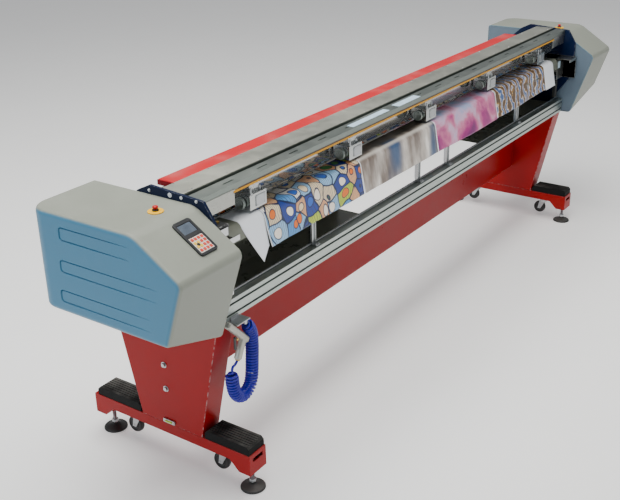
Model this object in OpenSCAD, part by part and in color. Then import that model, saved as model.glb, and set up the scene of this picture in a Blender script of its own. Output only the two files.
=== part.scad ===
// Wide-format printer cutter: a welded stand, two end hoods, a cross-cutting beam with
// five slitting heads under it, and the printed web that they cut.
// Front is -Y, +X runs along the machine, +Z is up, and the floor is Z = 0.

/* [Overall] */
// Clear width between the two end hoods
span_w = 3400; // [2700:10:4200]
// Length of each end hood along the machine
hood_len = 312; // [250:1:400]
// Height of the front beam's underside above the floor
frame_h = 694; // [600:1:860]
// Height of the hood tops above the front beam's underside
unit_h = 483; // [460:1:600]

/* [Stand] */
// Width of the legs and of the foot beams
leg_w = 100; // [80:1:130]
// Distance from a hood's inner face to the leg's outer face
leg_inset = 32; // [20:1:60]
// Half depth of a leg at its foot
leg_foot_half = 157; // [120:1:200]
// Half depth of a leg at its top
leg_top_half = 270; // [270:1:320]
// Sheet thickness of the legs and of the stretcher
leg_wall = 5; // [3:0.5:8]
// Reach of the foot beams in front of the middle
foot_front = 391; // [350:1:470]
// Reach of the foot beams behind the middle
foot_rear = 435.5; // [400:0.5:520]
// Height of the foot beams' top face
foot_top = 180; // [170:1:210]
// Depth of the foot beams' section
foot_h = 47; // [40:1:50]
// Extra depth of the foot beams at their ends
foot_drop = 42; // [20:1:45]
// Wall of the foot beams
foot_wall = 4; // [3:0.5:6]
// Thickness of the step treads
tread_h = 38; // [20:1:50]
// Height of the stretcher's section
stretcher_h = 200; // [160:1:260]
// Height of the stretcher's underside above the floor
stretcher_z = 325; // [300:1:340]
// Depth of the stretcher from front to back
stretcher_d = 70; // [50:1:90]

/* [Feet and casters] */
// Radius of the levelling discs
pad_r = 50; // [40:1:60]
// Radius of the levelling screws
screw_r = 8; // [6:0.5:10]
// Radius of the caster wheels
caster_r = 37.5; // [30:0.5:40]
// Height of the raised casters above the floor
caster_lift = 30; // [10:1:35]
// Distance of the casters in front of and behind the middle
caster_y = 233; // [210:1:240]
// Trail of the caster wheels behind their stems
caster_trail = 22; // [15:1:25]

/* [Beams] */
// Height of the front beam's section
rail_h = 80; // [70:1:100]
// Depth of the front beam's section
rail_d = 40; // [38:1:50]
// Height of the knife beam's section
beam_h = 76; // [60:1:100]
// Reach of the knife beam in front of the middle
beam_front = 250; // [245:1:260]
// Wall of the knife beam
beam_wall = 6; // [4:0.5:8]
// Thickness of the side frames
side_t = 12; // [8:1:16]

/* [Web and cutting] */
// Height of the web above the front beam's underside
web_h = 350; // [330:1:380]
// Thickness of the web
web_t = 1; // [0.6:0.1:1.5]
// Gap between the web and the knife beam's underside
throat_h = 76; // [72:1:90]
// Distance from a hood's inner face to the outermost slitting line
trim_w = 345; // [300:1:420]
// Length of web that hangs below the guide's bend
web_drop = 124; // [60:1:150]
// Radius of the guide's bend
guide_r = 26; // [20:1:40]
// Radius of the feed roller
feed_r = 30; // [25:1:35]
// Radius of the pinch roller
pinch_r = 22; // [18:1:25]
// Downward stroke of the cross blade
blade_stroke = 16; // [15:1:22]
// Radius of the slitting wheels
wheel_r = 16; // [14:0.5:18]
// Length of a slitting head along the machine
head_w = 100; // [80:1:120]

/* [Hoods and controls] */
// Wall of the hoods
hood_wall = 5; // [4:0.5:8]
// Depth of the three grooves in each end face
groove_d = 3; // [1:0.5:3]
// Length of the keypad along the slope
keypad_len = 150; // [130:1:170]
// Width of the keypad
keypad_w = 85; // [75:1:100]
// Radius of the stop buttons
button_r = 11; // [9:0.5:16]

/* [Air gun] */
// Outer diameter of the coiled hose
coil_d = 54; // [40:1:56]

/* [Fits] */
// Radial clearance of the running fits
run_gap = 0.05; // [0.02:0.01:0.1]
// Clearance between pieces that move past or lie beside each other
part_gap = 0.4; // [0.3:0.1:0.6]

/* [Hidden] */
$fn = 48;
eps = 1;

// Colours
stand_red = [0.60, 0.07, 0.09];
hood_grey = [0.66, 0.68, 0.64];
alloy = [0.62, 0.66, 0.63];
pale_alloy = [0.78, 0.79, 0.73];
steel = [0.72, 0.73, 0.74];
dark_steel = [0.20, 0.22, 0.20];
navy = [0.05, 0.12, 0.25];
hose_blue = [0.17, 0.17, 0.62];

// Main stations along X
hood_x = span_w / 2;
hood_end_x = hood_x + hood_len;
leg_out_x = hood_x - leg_inset;
leg_in_x = leg_out_x - leg_w;
leg_mid_x = leg_out_x - leg_w / 2;
frame_in_x = hood_x - side_t;

// Main levels
hood_top = frame_h + unit_h;
rail_top = frame_h + rail_h;
web_z = frame_h + web_h;
guide_z = web_z - web_t - part_gap;
beam_z = web_z + throat_h;
beam_top = beam_z + beam_h;
cover_t = 4;
plank_t = 34; // thin front part of the knife beam
plank_z = beam_top - plank_t;

// Foot beams and what stands in them
foot_under = foot_top - foot_h;
foot_end_z = foot_under - foot_drop;
foot_end_run = 56;
foot_ramp = 44;
foot_places = [
    [-leg_mid_x, 31 - foot_front], [leg_mid_x, 31 - foot_front],
    [-leg_mid_x, foot_rear - pad_r], [leg_mid_x, foot_rear - pad_r]
];
caster_places = [
    [-leg_mid_x, -caster_y], [leg_mid_x, -caster_y],
    [-leg_mid_x, caster_y], [leg_mid_x, caster_y]
];
boss_h = 40;
stem_r = 6;
stem_h = 32;
screw_h = 130;
pad_rim_h = 8;
pad_cone_h = 16;
caster_z = caster_lift + caster_r;
caster_half = 12;
axle_r = 5;

// Front beam
rail_front = leg_top_half;
rail_back = rail_front - rail_d;
slot_mouth = 8;
slot_lip = 5;
slot_w = 20;
slot_deep = 13;

// Cutting line: the moving blade drops just in front of the fixed one
blade_t = 6;
blade_y = -152;
blade_h = 94;
blade_low = web_z + 12;
fixed_y = blade_y + blade_t + 0.5;
fixed_d = 12.5;
fixed_h = 42;
roller_y = fixed_y + fixed_d + 3 + feed_r;
feed_z = guide_z - feed_r;
pinch_z = web_z + part_gap + pinch_r;
journal_r = 15;
pinch_journal_r = 10;
roller_end_x = frame_in_x - 48;

// Slitting heads and their rail
cut_count = 5;
cut_pitch = (span_w - 2 * trim_w) / (cut_count - 1);
function cut_x(i) = -hood_x + trim_w + i * cut_pitch;
slide_y = -200;
slide_w = 24;
slide_h = 16;
head_d = 80;
head_h = 60;
head_top = beam_z - 4;
neck_w = 60;
neck_d = 44;
wheel_t = 1.5;
wheel_z = web_z + 0.5 + wheel_r;
wheel_pin_r = 3;
knob_r = 24;
knob_l = 18;

// Guide over which the web folds
guide_t = 2;
guide_rear = -156;
guide_bend_y = -236;
guide_x = frame_in_x - 118;
guide_sweep = 79;
guide_tail = 40;

// Hood outline in the YZ plane, seen along +X
hood_back = 258;
hood_bend = 238;
hood_front = 435.5;
hood_nose_r = 20;
hood_nose_y = hood_front + 0.18 * hood_nose_r; // corner before its rounding
hood_nose_drop = 129;
hood_skirt = 520;
hood_skirt_y = 311;
hood_in_drop = 489;
hood_out_drop = 374;
panel_t = 3;
slope = atan2(hood_nose_drop, hood_nose_y - hood_bend);
stop_x = hood_x + 116;
stop_y = -165;
collar_r = 28;
stop_stem_r = 6;

// Air gun hung under the left end of the front beam
gun_y = -301;
gun_t = 26;
trigger_x = 1606;
trigger_z = 59;
hose_route = [
    [1543, 24], [1528, 42], [1516, 66], [1510, 98], [1509, 130], [1511, 165], [1514, 200],
    [1517, 235], [1523, 268], [1537, 296], [1558, 312], [1581, 316], [1604, 306],
    [1622, 284], [1632, 254], [1636, 220], [1635, 186], [1628, 160]
];

// Geometry helpers

// Extrudes a YZ outline from x0 to x1
module along_x(x0, x1) {
    translate([x0, 0, 0]) rotate([90, 0, 90]) linear_extrude(x1 - x0) children();
}

// Draws a piece made for the right end at the given end: 1 right, -1 left
module at_end(side) {
    if (side > 0) children();
    else mirror([1, 0, 0]) children();
}

// Draws a right-hand piece at both ends
module both_ends() {
    for (side = [-1, 1]) at_end(side) children();
}

// Cylinder along X from x0 to x1, centred on y, z
module rod_x(x0, x1, y, z, r) {
    translate([x0, y, z]) rotate([0, 90, 0]) cylinder(h = x1 - x0, r = r);
}

// Box from one corner to the other
module block(low, high) {
    translate(low) cube(high - low);
}

function unit(v) = v / norm(v);

// Arc of radius r that rounds the corner b between a and c
function round_corner(a, b, c, r, steps = 8) =
    let (
        u = unit(a - b),
        v = unit(c - b),
        half = acos(u * v) / 2,
        mid = b + r / sin(half) * unit(u + v),
        p = b + u * r / tan(half) - mid,
        q = b + v * r / tan(half) - mid,
        from = atan2(p[1], p[0]),
        turn = (atan2(q[1], q[0]) - from + 900) % 360 - 180
    )
    [for (i = [0:steps]) mid + r * [cos(from + turn * i / steps), sin(from + turn * i / steps)]];

function left_normal(a, b) = let (d = unit(b - a)) [-d[1], d[0]];

// Outline moved inwards by t; its points run anticlockwise
function inset_outline(pts, t) =
    let (n = len(pts))
    [for (i = [0:n - 1])
        let (
            before = left_normal(pts[(i + n - 1) % n], pts[i]),
            after = left_normal(pts[i], pts[(i + 1) % n])
        )
        pts[i] + t * (before + after) / (1 + before * after)];

// Stand

function leg_half(z) =
    leg_foot_half + (z - foot_top) * (leg_top_half - leg_foot_half) / (frame_h - foot_top);

foot_outline = [
    [-foot_front, foot_end_z], [foot_end_run - foot_front, foot_end_z],
    [foot_end_run + foot_ramp - foot_front, foot_under],
    [foot_rear - foot_end_run - foot_ramp, foot_under],
    [foot_rear - foot_end_run, foot_end_z], [foot_rear, foot_end_z],
    [foot_rear, foot_top], [-foot_front, foot_top]
];

module foot_beam(side) {
    color(stand_red) difference() {
        union() {
            difference() {
                at_end(side) along_x(leg_in_x, leg_out_x) polygon(foot_outline);
                at_end(side) along_x(leg_in_x + foot_wall, leg_out_x - foot_wall)
                    polygon(inset_outline(foot_outline, foot_wall));
                at_end(side) block([leg_mid_x - 30, -foot_front - eps, foot_under + 12],
                    [leg_mid_x + 30, foot_wall + eps - foot_front, foot_under + 30]);
            }
            for (p = foot_places) if (p[0] * side > 0)
                translate([p[0], p[1], foot_end_z]) cylinder(h = boss_h, r = 2 * screw_r);
            for (p = caster_places) if (p[0] * side > 0)
                translate([p[0], p[1], foot_under]) cylinder(h = stem_h + 4, r = 2 * stem_r);
        }
        for (p = foot_places) if (p[0] * side > 0)
            translate([p[0], p[1], foot_end_z - eps])
                cylinder(h = boss_h + 2 * eps, r = screw_r + run_gap);
        for (p = caster_places) if (p[0] * side > 0)
            translate([p[0], p[1], foot_under - eps])
                cylinder(h = stem_h + 4 + 2 * eps, r = stem_r + run_gap);
    }
}

module tread(y0, y1) {
    chamfer = 12;
    ribs = 7;
    rib_pitch = (leg_w - 10) / ribs;
    difference() {
        along_x(leg_in_x + 2, leg_out_x - 2) polygon([
            [y0, foot_top], [y1, foot_top], [y1, foot_top + tread_h - chamfer],
            [y1 - chamfer, foot_top + tread_h], [y0 + chamfer, foot_top + tread_h],
            [y0, foot_top + tread_h - chamfer]
        ]);
        for (i = [1:ribs - 1])
            block([leg_in_x + 5 + i * rib_pitch - 2, y0 - eps, foot_top + tread_h - 3],
                [leg_in_x + 5 + i * rib_pitch + 2, y1 + eps, foot_top + tread_h + eps]);
    }
}

module foot_treads() {
    color("#1c1c1c") both_ends() {
        tread(5 - foot_front, -leg_half(foot_top + tread_h) - 4);
        tread(leg_half(foot_top + tread_h) + 4, foot_rear - 20);
    }
}

module leg(side) {
    low = foot_top;
    high = frame_h;
    color(stand_red) at_end(side) difference() {
        along_x(leg_in_x, leg_out_x) polygon([
            [-leg_half(low), low], [leg_half(low), low], [leg_half(high), high], [-leg_half(high), high]
        ]);
        along_x(leg_in_x + leg_wall, leg_out_x - leg_wall) polygon([
            [leg_wall - leg_half(low - eps), low - eps], [leg_half(low - eps) - leg_wall, low - eps],
            [leg_half(high + eps) - leg_wall, high + eps], [leg_wall - leg_half(high + eps), high + eps]
        ]);
    }
}

module frame_bolts() {
    color(steel) both_ends() {
        for (z = [stretcher_z + 20, stretcher_z + 128]) {
            rod_x(leg_out_x, leg_out_x + 2, 13, z, 13);
            rod_x(leg_out_x + 2, leg_out_x + 8, 13, z, 9);
        }
        for (y = [-28, -177, -245]) rod_x(hood_x, hood_x + 3, y, beam_top - 5, 6);
        rod_x(hood_x, hood_x + 4, -125, beam_top - 5, 8);
    }
}

module spirit_levels() {
    color(steel) both_ends() {
        block([leg_out_x, -21, foot_top + 8], [leg_out_x + 5, 39, foot_top + 24]);
        block([leg_out_x + 5, -12, foot_top + 11], [leg_out_x + 9, 30, foot_top + 21]);
    }
}

module stretcher() {
    front = -20;
    color(stand_red) along_x(-leg_in_x, leg_in_x) difference() {
        translate([front, stretcher_z]) square([stretcher_d, stretcher_h]);
        translate([front + leg_wall, stretcher_z + leg_wall])
            square([stretcher_d - 2 * leg_wall, stretcher_h - 2 * leg_wall]);
    }
}

module levelling_foot(i) {
    p = foot_places[i];
    color("#202020") translate([p[0], p[1], 0]) {
        cylinder(h = pad_rim_h, r = pad_r);
        translate([0, 0, pad_rim_h])
            cylinder(h = pad_cone_h, r1 = pad_r - 4, r2 = 2 * screw_r);
        translate([0, 0, pad_rim_h + pad_cone_h - eps])
            cylinder(h = screw_h - pad_cone_h, r = screw_r);
        translate([0, 0, pad_rim_h + pad_cone_h + 8]) cylinder(h = 12, r = 1.6 * screw_r);
    }
}

module caster_fork(i) {
    p = caster_places[i];
    crown_z = caster_z + caster_r + 3;
    cheek_in = caster_half + 0.5;
    cheek_out = cheek_in + 3;
    color(steel) translate([p[0], p[1], 0]) {
        translate([0, 0, crown_z]) cylinder(h = foot_under - part_gap - crown_z, r = 22);
        translate([0, 0, foot_under - part_gap - eps])
            cylinder(h = stem_h + part_gap + eps, r = stem_r);
        for (side = [-1, 1]) at_end(side) along_x(cheek_in, cheek_out) polygon([
            [caster_trail - 9, caster_z - 9], [caster_trail + 9, caster_z - 9],
            [22, crown_z + 4], [-16, crown_z + 4]
        ]);
        block([-cheek_out, -16, crown_z], [cheek_out, 22, crown_z + 4]);
        rod_x(-cheek_out - 2, cheek_out + 2, caster_trail, caster_z, axle_r);
    }
}

module caster_wheel(i) {
    p = caster_places[i];
    y = p[1] + caster_trail;
    color("#181818") difference() {
        union() {
            rod_x(p[0] - caster_half + 2, p[0] + caster_half - 2, y, caster_z, caster_r);
            rod_x(p[0] - caster_half, p[0] + caster_half, y, caster_z, caster_r - 8);
        }
        rod_x(p[0] - caster_half - eps, p[0] + caster_half + eps, y, caster_z, axle_r + run_gap);
    }
}

// Beams and side frames

module t_slot(z) {
    translate([-eps, z - slot_mouth / 2]) square([slot_lip + 2 * eps, slot_mouth]);
    translate([slot_lip, z - slot_w / 2]) square([slot_deep - slot_lip, slot_w]);
}

module front_beam() {
    color(alloy) along_x(-frame_in_x, frame_in_x) difference() {
        translate([-rail_front, frame_h]) square([rail_d, rail_h]);
        for (z = [frame_h + rail_h / 4, frame_h + 3 * rail_h / 4]) {
            translate([-rail_front, 0]) t_slot(z);
            translate([-rail_back, 0]) mirror([1, 0]) t_slot(z);
        }
    }
}

module side_frame(side) {
    inner = -rail_back + 5;
    color(navy) at_end(side) difference() {
        union() {
            along_x(frame_in_x, hood_x) polygon([
                [inner, frame_h], [-inner, frame_h], [-inner, guide_z - 40],
                [30, beam_top - 14], [-28, beam_top + 14], [-274, beam_top - 1],
                [-321, beam_top - 74], [-321, guide_z + 8], [-300, guide_z - 142],
                [inner, guide_z - 242]
            ]);
            block([leg_in_x + 12, inner, frame_h], [hood_x, -inner, frame_h + side_t]);
        }
        rod_x(frame_in_x - eps, hood_x + eps, roller_y, feed_z, journal_r + run_gap);
        rod_x(frame_in_x - eps, hood_x + eps, roller_y, pinch_z, pinch_journal_r + run_gap);
    }
}

module knife_beam() {
    shelf_y = 75;
    cover_y = -67;
    gap_y = -174;
    slot_front = blade_y - part_gap;
    color(alloy) difference() {
        along_x(-frame_in_x, frame_in_x) difference() {
            union() {
                translate([-beam_front, plank_z]) square([beam_front + cover_y, plank_t]);
                translate([slot_front - beam_wall, plank_z - 36]) square([beam_wall, 36 + eps]);
                translate([slot_front, beam_z]) square([cover_y - slot_front, beam_h]);
                translate([cover_y - eps, beam_z]) square([shelf_y - cover_y + eps, 10]);
            }
            translate([gap_y - 18, beam_top - 20]) square([18, 20 + eps]);
            translate([slot_front, beam_z - eps])
                square([blade_t + 2 * part_gap, blade_low + blade_h + 22 - beam_z + eps]);
            translate([blade_y + blade_t + 2 * beam_wall, beam_z + beam_wall])
                square([cover_y - blade_y - blade_t - 3 * beam_wall, beam_h - 2 * beam_wall]);
        }
        for (x = [200 - hood_x:200:hood_x - 200])
            block([x - 30, -224, beam_top - beam_wall - eps], [x + 30, -218, beam_top + eps]);
    }
}

module beam_covers() {
    block_w = 110;
    run = 2 * (frame_in_x - block_w) / 3;
    color(pale_alloy) {
        both_ends() block([frame_in_x - block_w + 0.5, -173, beam_top],
            [frame_in_x, -67, beam_top + cover_t]);
        for (i = [0:2])
            block([block_w - frame_in_x + i * run + 0.5, -173, beam_top],
                [block_w - frame_in_x + (i + 1) * run - 0.5, -67, beam_top + cover_t]);
    }
}

module yellow_strip() {
    color("#d8ae3c") block([190 - hood_x, -beam_front - 3, plank_z],
        [hood_x - 190, -beam_front, plank_z + 8]);
}

module clear_guard() {
    color([0.8, 0.85, 0.88, 0.4]) block([200 - hood_x, -beam_front, beam_z - 15],
        [hood_x - 200, 3 - beam_front, plank_z]);
}

module rear_guard_bar() {
    posts = 6;
    bar_x = hood_x - 150;
    color("#d9525a") {
        block([-bar_x, -4, beam_z + 23], [bar_x, 80, beam_z + 46]);
        for (i = [0:posts - 1])
            translate([-bar_x + 60 + i * (2 * bar_x - 120) / (posts - 1), 38, beam_z + 10])
                cylinder(h = 14, r = 8);
    }
}

module cutter_rail() {
    color(steel) block([60 - hood_x, slide_y - slide_w / 2, plank_z - slide_h],
        [hood_x - 60, slide_y + slide_w / 2, plank_z]);
}

// Web path

// Outline of a sheet that lies on the guide: clear is its height above the guide's face
module folded_sheet(clear, t, rear, tail) {
    steps = 12;
    r = guide_r + clear;
    mid = [guide_bend_y, guide_z - guide_r];
    end = 90 + guide_sweep;
    down = [-sin(end), cos(end)];
    function ring(rad, a) = mid + rad * [cos(a), sin(a)];
    polygon(concat(
        [[rear, guide_z + clear], [rear, guide_z + clear + t]],
        [for (i = [0:steps]) ring(r + t, 90 + guide_sweep * i / steps)],
        [ring(r + t, end) + tail * down, ring(r, end) + tail * down],
        [for (i = [steps:-1:0]) ring(r, 90 + guide_sweep * i / steps)]
    ));
}

module output_guide() {
    color(dark_steel) along_x(-guide_x, guide_x)
        folded_sheet(-guide_t, guide_t, guide_rear, guide_tail);
}

module guide_brackets() {
    half = 15;
    inner = guide_z - guide_t;
    color(steel) for (x = [-0.59 * hood_x, -0.065 * hood_x, 0.112 * hood_x, 0.62 * hood_x])
        along_x(x - half, x + half) polygon([
            [-rail_front + 6, rail_top], [-rail_back, rail_top], [-rail_back, rail_top + 6],
            [-rail_back + 4, rail_top + 20], [-rail_back + 4, guide_z - 60],
            [-200, inner - 12], [-200, inner], [guide_bend_y + 2, inner],
            [guide_bend_y + 2, inner - 10], [-rail_back - 8, guide_z - 50],
            [-rail_back - 8, rail_top + 6], [-rail_front + 6, rail_top + 6]
        ]);
}

module printed_strips() {
    kerf = 1;
    right_edge_w = 145;
    left_edge_w = 135;
    front_y = blade_y - 4;
    lines = [for (i = [0:cut_count - 1]) cut_x(i)];
    edges = concat([lines[0] - left_edge_w], lines, [lines[cut_count - 1] + right_edge_w]);
    color("#c8d4e0") {
        for (i = [0:cut_count])
            along_x(edges[i] + kerf, edges[i + 1] - kerf)
                folded_sheet(part_gap, web_t, front_y, web_drop);
        block([edges[0] + kerf, fixed_y + fixed_d / 2, web_z - web_t],
            [edges[cut_count + 1] - kerf, 0, web_z]);
    }
}

module scrap_tray() {
    wall_y = -60;
    floor_z = frame_h + 46;
    top_z = guide_z - 82;
    t = 2;
    left = [eps - frame_in_x + 3, -0.32 * hood_x];
    right = [0.4 * hood_x, frame_in_x - eps - 3];
    color(dark_steel) for (run = [left, right])
        along_x(run[0], run[1]) polygon([
            [-rail_back, floor_z], [wall_y, floor_z], [wall_y, top_z],
            [wall_y - t, top_z], [wall_y - t, floor_z + t], [-rail_back, floor_z + t]
        ]);
}

module cross_blade() {
    x = roller_end_x;
    color(steel) along_x(-x, x) polygon([
        [blade_y, blade_low + 6], [blade_y + blade_t, blade_low],
        [blade_y + blade_t, blade_low + blade_h], [blade_y, blade_low + blade_h]
    ]);
}

module fixed_blade() {
    color(steel) block([-frame_in_x, fixed_y, guide_z - fixed_h],
        [frame_in_x, fixed_y + fixed_d, guide_z]);
}

module feed_roller() {
    color("#303030") {
        rod_x(-roller_end_x, roller_end_x, roller_y, feed_z, feed_r);
        rod_x(-hood_x + 3, hood_x - 3, roller_y, feed_z, journal_r);
    }
}

module pinch_roller() {
    color("#505050") {
        rod_x(-roller_end_x, roller_end_x, roller_y, pinch_z, pinch_r);
        rod_x(-hood_x + 3, hood_x - 3, roller_y, pinch_z, pinch_journal_r);
    }
}

module drive_unit() {
    motor_z = guide_z - 57;
    color("#3a3c3a") {
        rod_x(-frame_in_x, -frame_in_x + 78, -258, motor_z, 32);
        block([-frame_in_x, -222, motor_z - 30], [-frame_in_x + 40, -160, motor_z + 30]);
    }
    color(steel) difference() {
        block([frame_in_x - 3, -336, guide_z - 132], [frame_in_x, -150, guide_z]);
        block([frame_in_x - 4, -252, guide_z - 110], [frame_in_x + eps, -200, guide_z - 50]);
    }
}

module cutter_head(i) {
    x = cut_x(i);
    low = head_top - head_h;
    channel = slide_w / 2 + part_gap;
    color(steel) {
        difference() {
            union() {
                block([x - head_w / 2, slide_y - head_d / 2, low],
                    [x + head_w / 2, slide_y + head_d / 2, head_top]);
                block([x - neck_w / 2, slide_y - neck_d / 2, head_top - eps],
                    [x + neck_w / 2, slide_y + neck_d / 2, plank_z - 4]);
            }
            block([x - head_w, slide_y - channel, plank_z - slide_h - part_gap],
                [x + head_w, slide_y + channel, plank_z]);
            block([x - 2, slide_y - wheel_r - 2, low - eps],
                [x + 2, slide_y + wheel_r + 2, wheel_z + wheel_r + 2]);
        }
        rod_x(x - 3, x + 3, slide_y, wheel_z, wheel_pin_r);
        rod_x(x - head_w / 2 - knob_l, x - head_w / 2, slide_y, low + 26, knob_r);
    }
}

module cutter_wheel(i) {
    x = cut_x(i);
    color("silver") difference() {
        rod_x(x - wheel_t / 2, x + wheel_t / 2, slide_y, wheel_z, wheel_r);
        rod_x(x - wheel_t, x + wheel_t, slide_y, wheel_z, wheel_pin_r + run_gap);
    }
}

// Hoods and controls

hood_corners = [
    [hood_back, hood_top - hood_skirt], [hood_back, hood_top], [-hood_bend, hood_top],
    [-hood_nose_y, hood_top - hood_nose_drop], [-hood_skirt_y, hood_top - hood_skirt]
];
hood_outline = concat(
    [hood_corners[0]],
    round_corner(hood_corners[0], hood_corners[1], hood_corners[2], 12),
    round_corner(hood_corners[1], hood_corners[2], hood_corners[3], 60),
    round_corner(hood_corners[2], hood_corners[3], hood_corners[4], hood_nose_r),
    [hood_corners[4]]
);

// Right-hand hood solid, inset by t and cut off by its rising underside
module hood_blank(t, x0, x1) {
    rise = atan2(hood_in_drop - hood_out_drop, hood_len);
    intersection() {
        along_x(x0, x1) polygon(inset_outline(hood_outline, t));
        translate([hood_x, 0, hood_top - hood_in_drop]) rotate([0, -rise, 0])
            block([-200, -600, t], [hood_len + 300, 600, 900]);
    }
}

// One groove: its rear end is round, and it runs out towards the front
module groove(rear, front, low, high) {
    r = (high - low) / 2;
    along_x(hood_end_x - groove_d, hood_end_x + eps) {
        translate([front, hood_top - low - 2 * r]) square([rear - front - r, 2 * r]);
        translate([rear - r, hood_top - low - r]) circle(r = r);
    }
}

module hood(side) {
    color(hood_grey) at_end(side) difference() {
        hood_blank(0, hood_x, hood_end_x);
        hood_blank(hood_wall, hood_x - eps, hood_end_x - hood_wall);
        groove(104, -250, 43, 97);
        groove(118, -365, 167, 217);
        groove(135, -320, 284, 335);
        translate([stop_x, stop_y, hood_top - 2 * hood_wall]) cylinder(h = 30, r = 10);
    }
}

module hood_panels() {
    color("#5a6a75") both_ends() hood_blank(hood_wall + part_gap, hood_x, hood_x + panel_t);
}

module stop_collars() {
    both_ends() translate([stop_x, stop_y, hood_top]) {
        color("gold") difference() {
            cylinder(h = 4, r = collar_r);
            translate([0, 0, -eps]) cylinder(h = 4 + 2 * eps, r = stop_stem_r + run_gap);
        }
        color("#181818") translate([0, 0, 4]) difference() {
            cylinder(h = 6, r = button_r);
            translate([0, 0, -eps]) cylinder(h = 6 + 2 * eps, r = stop_stem_r + run_gap);
        }
    }
}

module stop_button(side) {
    head = button_r - 1;
    color("#c81818") at_end(side) translate([stop_x, stop_y, hood_top]) {
        translate([0, 0, -12]) cylinder(h = 28, r = stop_stem_r);
        translate([0, 0, 15]) cylinder(h = 4, r = head);
        translate([0, 0, 19]) cylinder(h = 3, r1 = head, r2 = head - 3);
    }
}

// Puts a piece on the left hood's sloping face, down the slope from its bend
module on_slope(x, down) {
    seat = 0.01;
    translate([x, -hood_bend, hood_top]) rotate([slope, 0, 0]) translate([0, -down, seat]) children();
}

module keypad_case() {
    x = -hood_x - 112;
    r = 12;
    window = [keypad_w - 24, 42];
    keys = [keypad_w - 20, 66];
    color("#15171a") on_slope(x, 32 + keypad_len) difference() {
        translate([-keypad_w / 2, 0, 0]) linear_extrude(6) union() {
            translate([r, 0]) square([keypad_w - 2 * r, keypad_len]);
            translate([0, r]) square([keypad_w, keypad_len - 2 * r]);
            for (px = [r, keypad_w - r], py = [r, keypad_len - r])
                translate([px, py]) circle(r = r);
        }
        translate([-window[0] / 2, keypad_len - 14 - window[1], 4]) cube([window[0], window[1], 9]);
        translate([-keys[0] / 2, 10, 4]) cube([keys[0], keys[1], 9]);
    }
}

module keypad_keys() {
    x = -hood_x - 112;
    pitch = 15.6;
    key = 12;
    color("#c62828") on_slope(x, 32 + keypad_len)
        for (i = [0:3], j = [0:3])
            translate([(i - 1.5) * pitch - key / 2, 43 + (j - 1.5) * pitch - key / 2, 4])
                cube([key, key, 3]);
}

// Air gun, its hook and its coiled hose; heights are counted down from the front beam

module gun_bar(from, to, w, t) {
    run = to - from;
    translate([-from[0], gun_y, frame_h - from[1]])
        rotate([0, atan2(run[1], -run[0]), 0])
        translate([0, -t / 2, -w / 2]) cube([norm(run), t, w]);
}

// Round bar of length l across the gun at the trigger's pivot
module across_gun(r, l) {
    translate([-trigger_x, gun_y - l / 2, frame_h - trigger_z]) rotate([-90, 0, 0])
        cylinder(h = l, r = r);
}

module air_gun() {
    slot = 4.5;
    color("#a8a89c") {
        difference() {
            union() {
                gun_bar([1648, -17], [1530, 104], 28, gun_t);
                gun_bar([1558, 74], [1600, 154], 32, gun_t - 2);
                across_gun(9, gun_t - 4);
            }
            translate([-trigger_x - 14, gun_y - slot, frame_h - trigger_z - 12])
                cube([26, 2 * slot, 22]);
        }
        across_gun(2, gun_t - 10);
    }
}

module air_gun_trigger() {
    half = 3.5;
    color("#70706a") translate([-trigger_x, gun_y - half, frame_h - trigger_z]) rotate([-90, 0, 0])
        difference() {
            union() {
                cylinder(h = 2 * half, r = 6);
                translate([-6, 0, 0]) cube([9, 46, 2 * half]);
            }
            translate([0, 0, -eps]) cylinder(h = 2 * half + 2 * eps, r = 2 + run_gap);
        }
}

module gun_hook() {
    color(steel) {
        block([-1606, -318, frame_h - 4], [-1532, -rail_front - 1, frame_h]);
        block([-1590, -rail_front - 4, frame_h - 4], [-1545, -rail_front, frame_h + 12]);
        translate([-1543, gun_y, frame_h - 24]) cylinder(h = 22, r = 9);
        block([-1600, gun_y - 8, frame_h - 11], [-1590, gun_y + 8, frame_h - 4]);
    }
}

// Tube of radius r along points that lie in the plane y = gun_y
module flat_sweep(pts, r, sides) {
    n = len(pts);
    function along(i) = unit(pts[min(i + 1, n - 1)] - pts[max(i - 1, 0)]);
    rings = [for (i = [0:n - 1]) let (d = along(i), across = [-d[1], d[0]])
        [for (k = [0:sides - 1]) let (a = 360 * k / sides, c = pts[i] + r * cos(a) * across)
            [c[0], gun_y + r * sin(a), c[1]]]];
    walls = [for (i = [0:n - 2], k = [0:sides - 1]) let (m = (k + 1) % sides)
        [i * sides + k, i * sides + m, (i + 1) * sides + m, (i + 1) * sides + k]];
    polyhedron(
        points = [for (ring = rings) each ring],
        faces = concat(walls, [[for (k = [sides - 1:-1:0]) k]],
            [[for (k = [0:sides - 1]) (n - 1) * sides + k]]),
        convexity = 4
    );
}

module air_hose() {
    color(hose_blue) flat_sweep([for (p = hose_route) [-p[0], frame_h - p[1]]], coil_d / 2, 12);
}

foot_beam(-1);  // foot_beam_left
foot_beam(1);  // foot_beam_right
foot_treads();
leg(-1);  // leg_left
leg(1);  // leg_right
frame_bolts();
spirit_levels();
stretcher();
front_beam();
side_frame(-1);  // side_frame_left
side_frame(1);  // side_frame_right
hood(-1);  // hood_left
hood(1);  // hood_right
hood_panels();
knife_beam();
beam_covers();
yellow_strip();
clear_guard();
rear_guard_bar();
output_guide();
guide_brackets();
cutter_rail();
cross_blade();
fixed_blade();
feed_roller();
pinch_roller();
drive_unit();
scrap_tray();
stop_collars();
stop_button(-1);  // stop_button_left
stop_button(1);  // stop_button_right
keypad_case();
keypad_keys();
air_gun();
air_gun_trigger();
gun_hook();
air_hose();
printed_strips();
levelling_foot(0);  // levelling_foot_1
levelling_foot(1);  // levelling_foot_2
levelling_foot(2);  // levelling_foot_3
levelling_foot(3);  // levelling_foot_4
caster_fork(0);  // caster_fork_1
caster_fork(1);  // caster_fork_2
caster_fork(2);  // caster_fork_3
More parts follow.
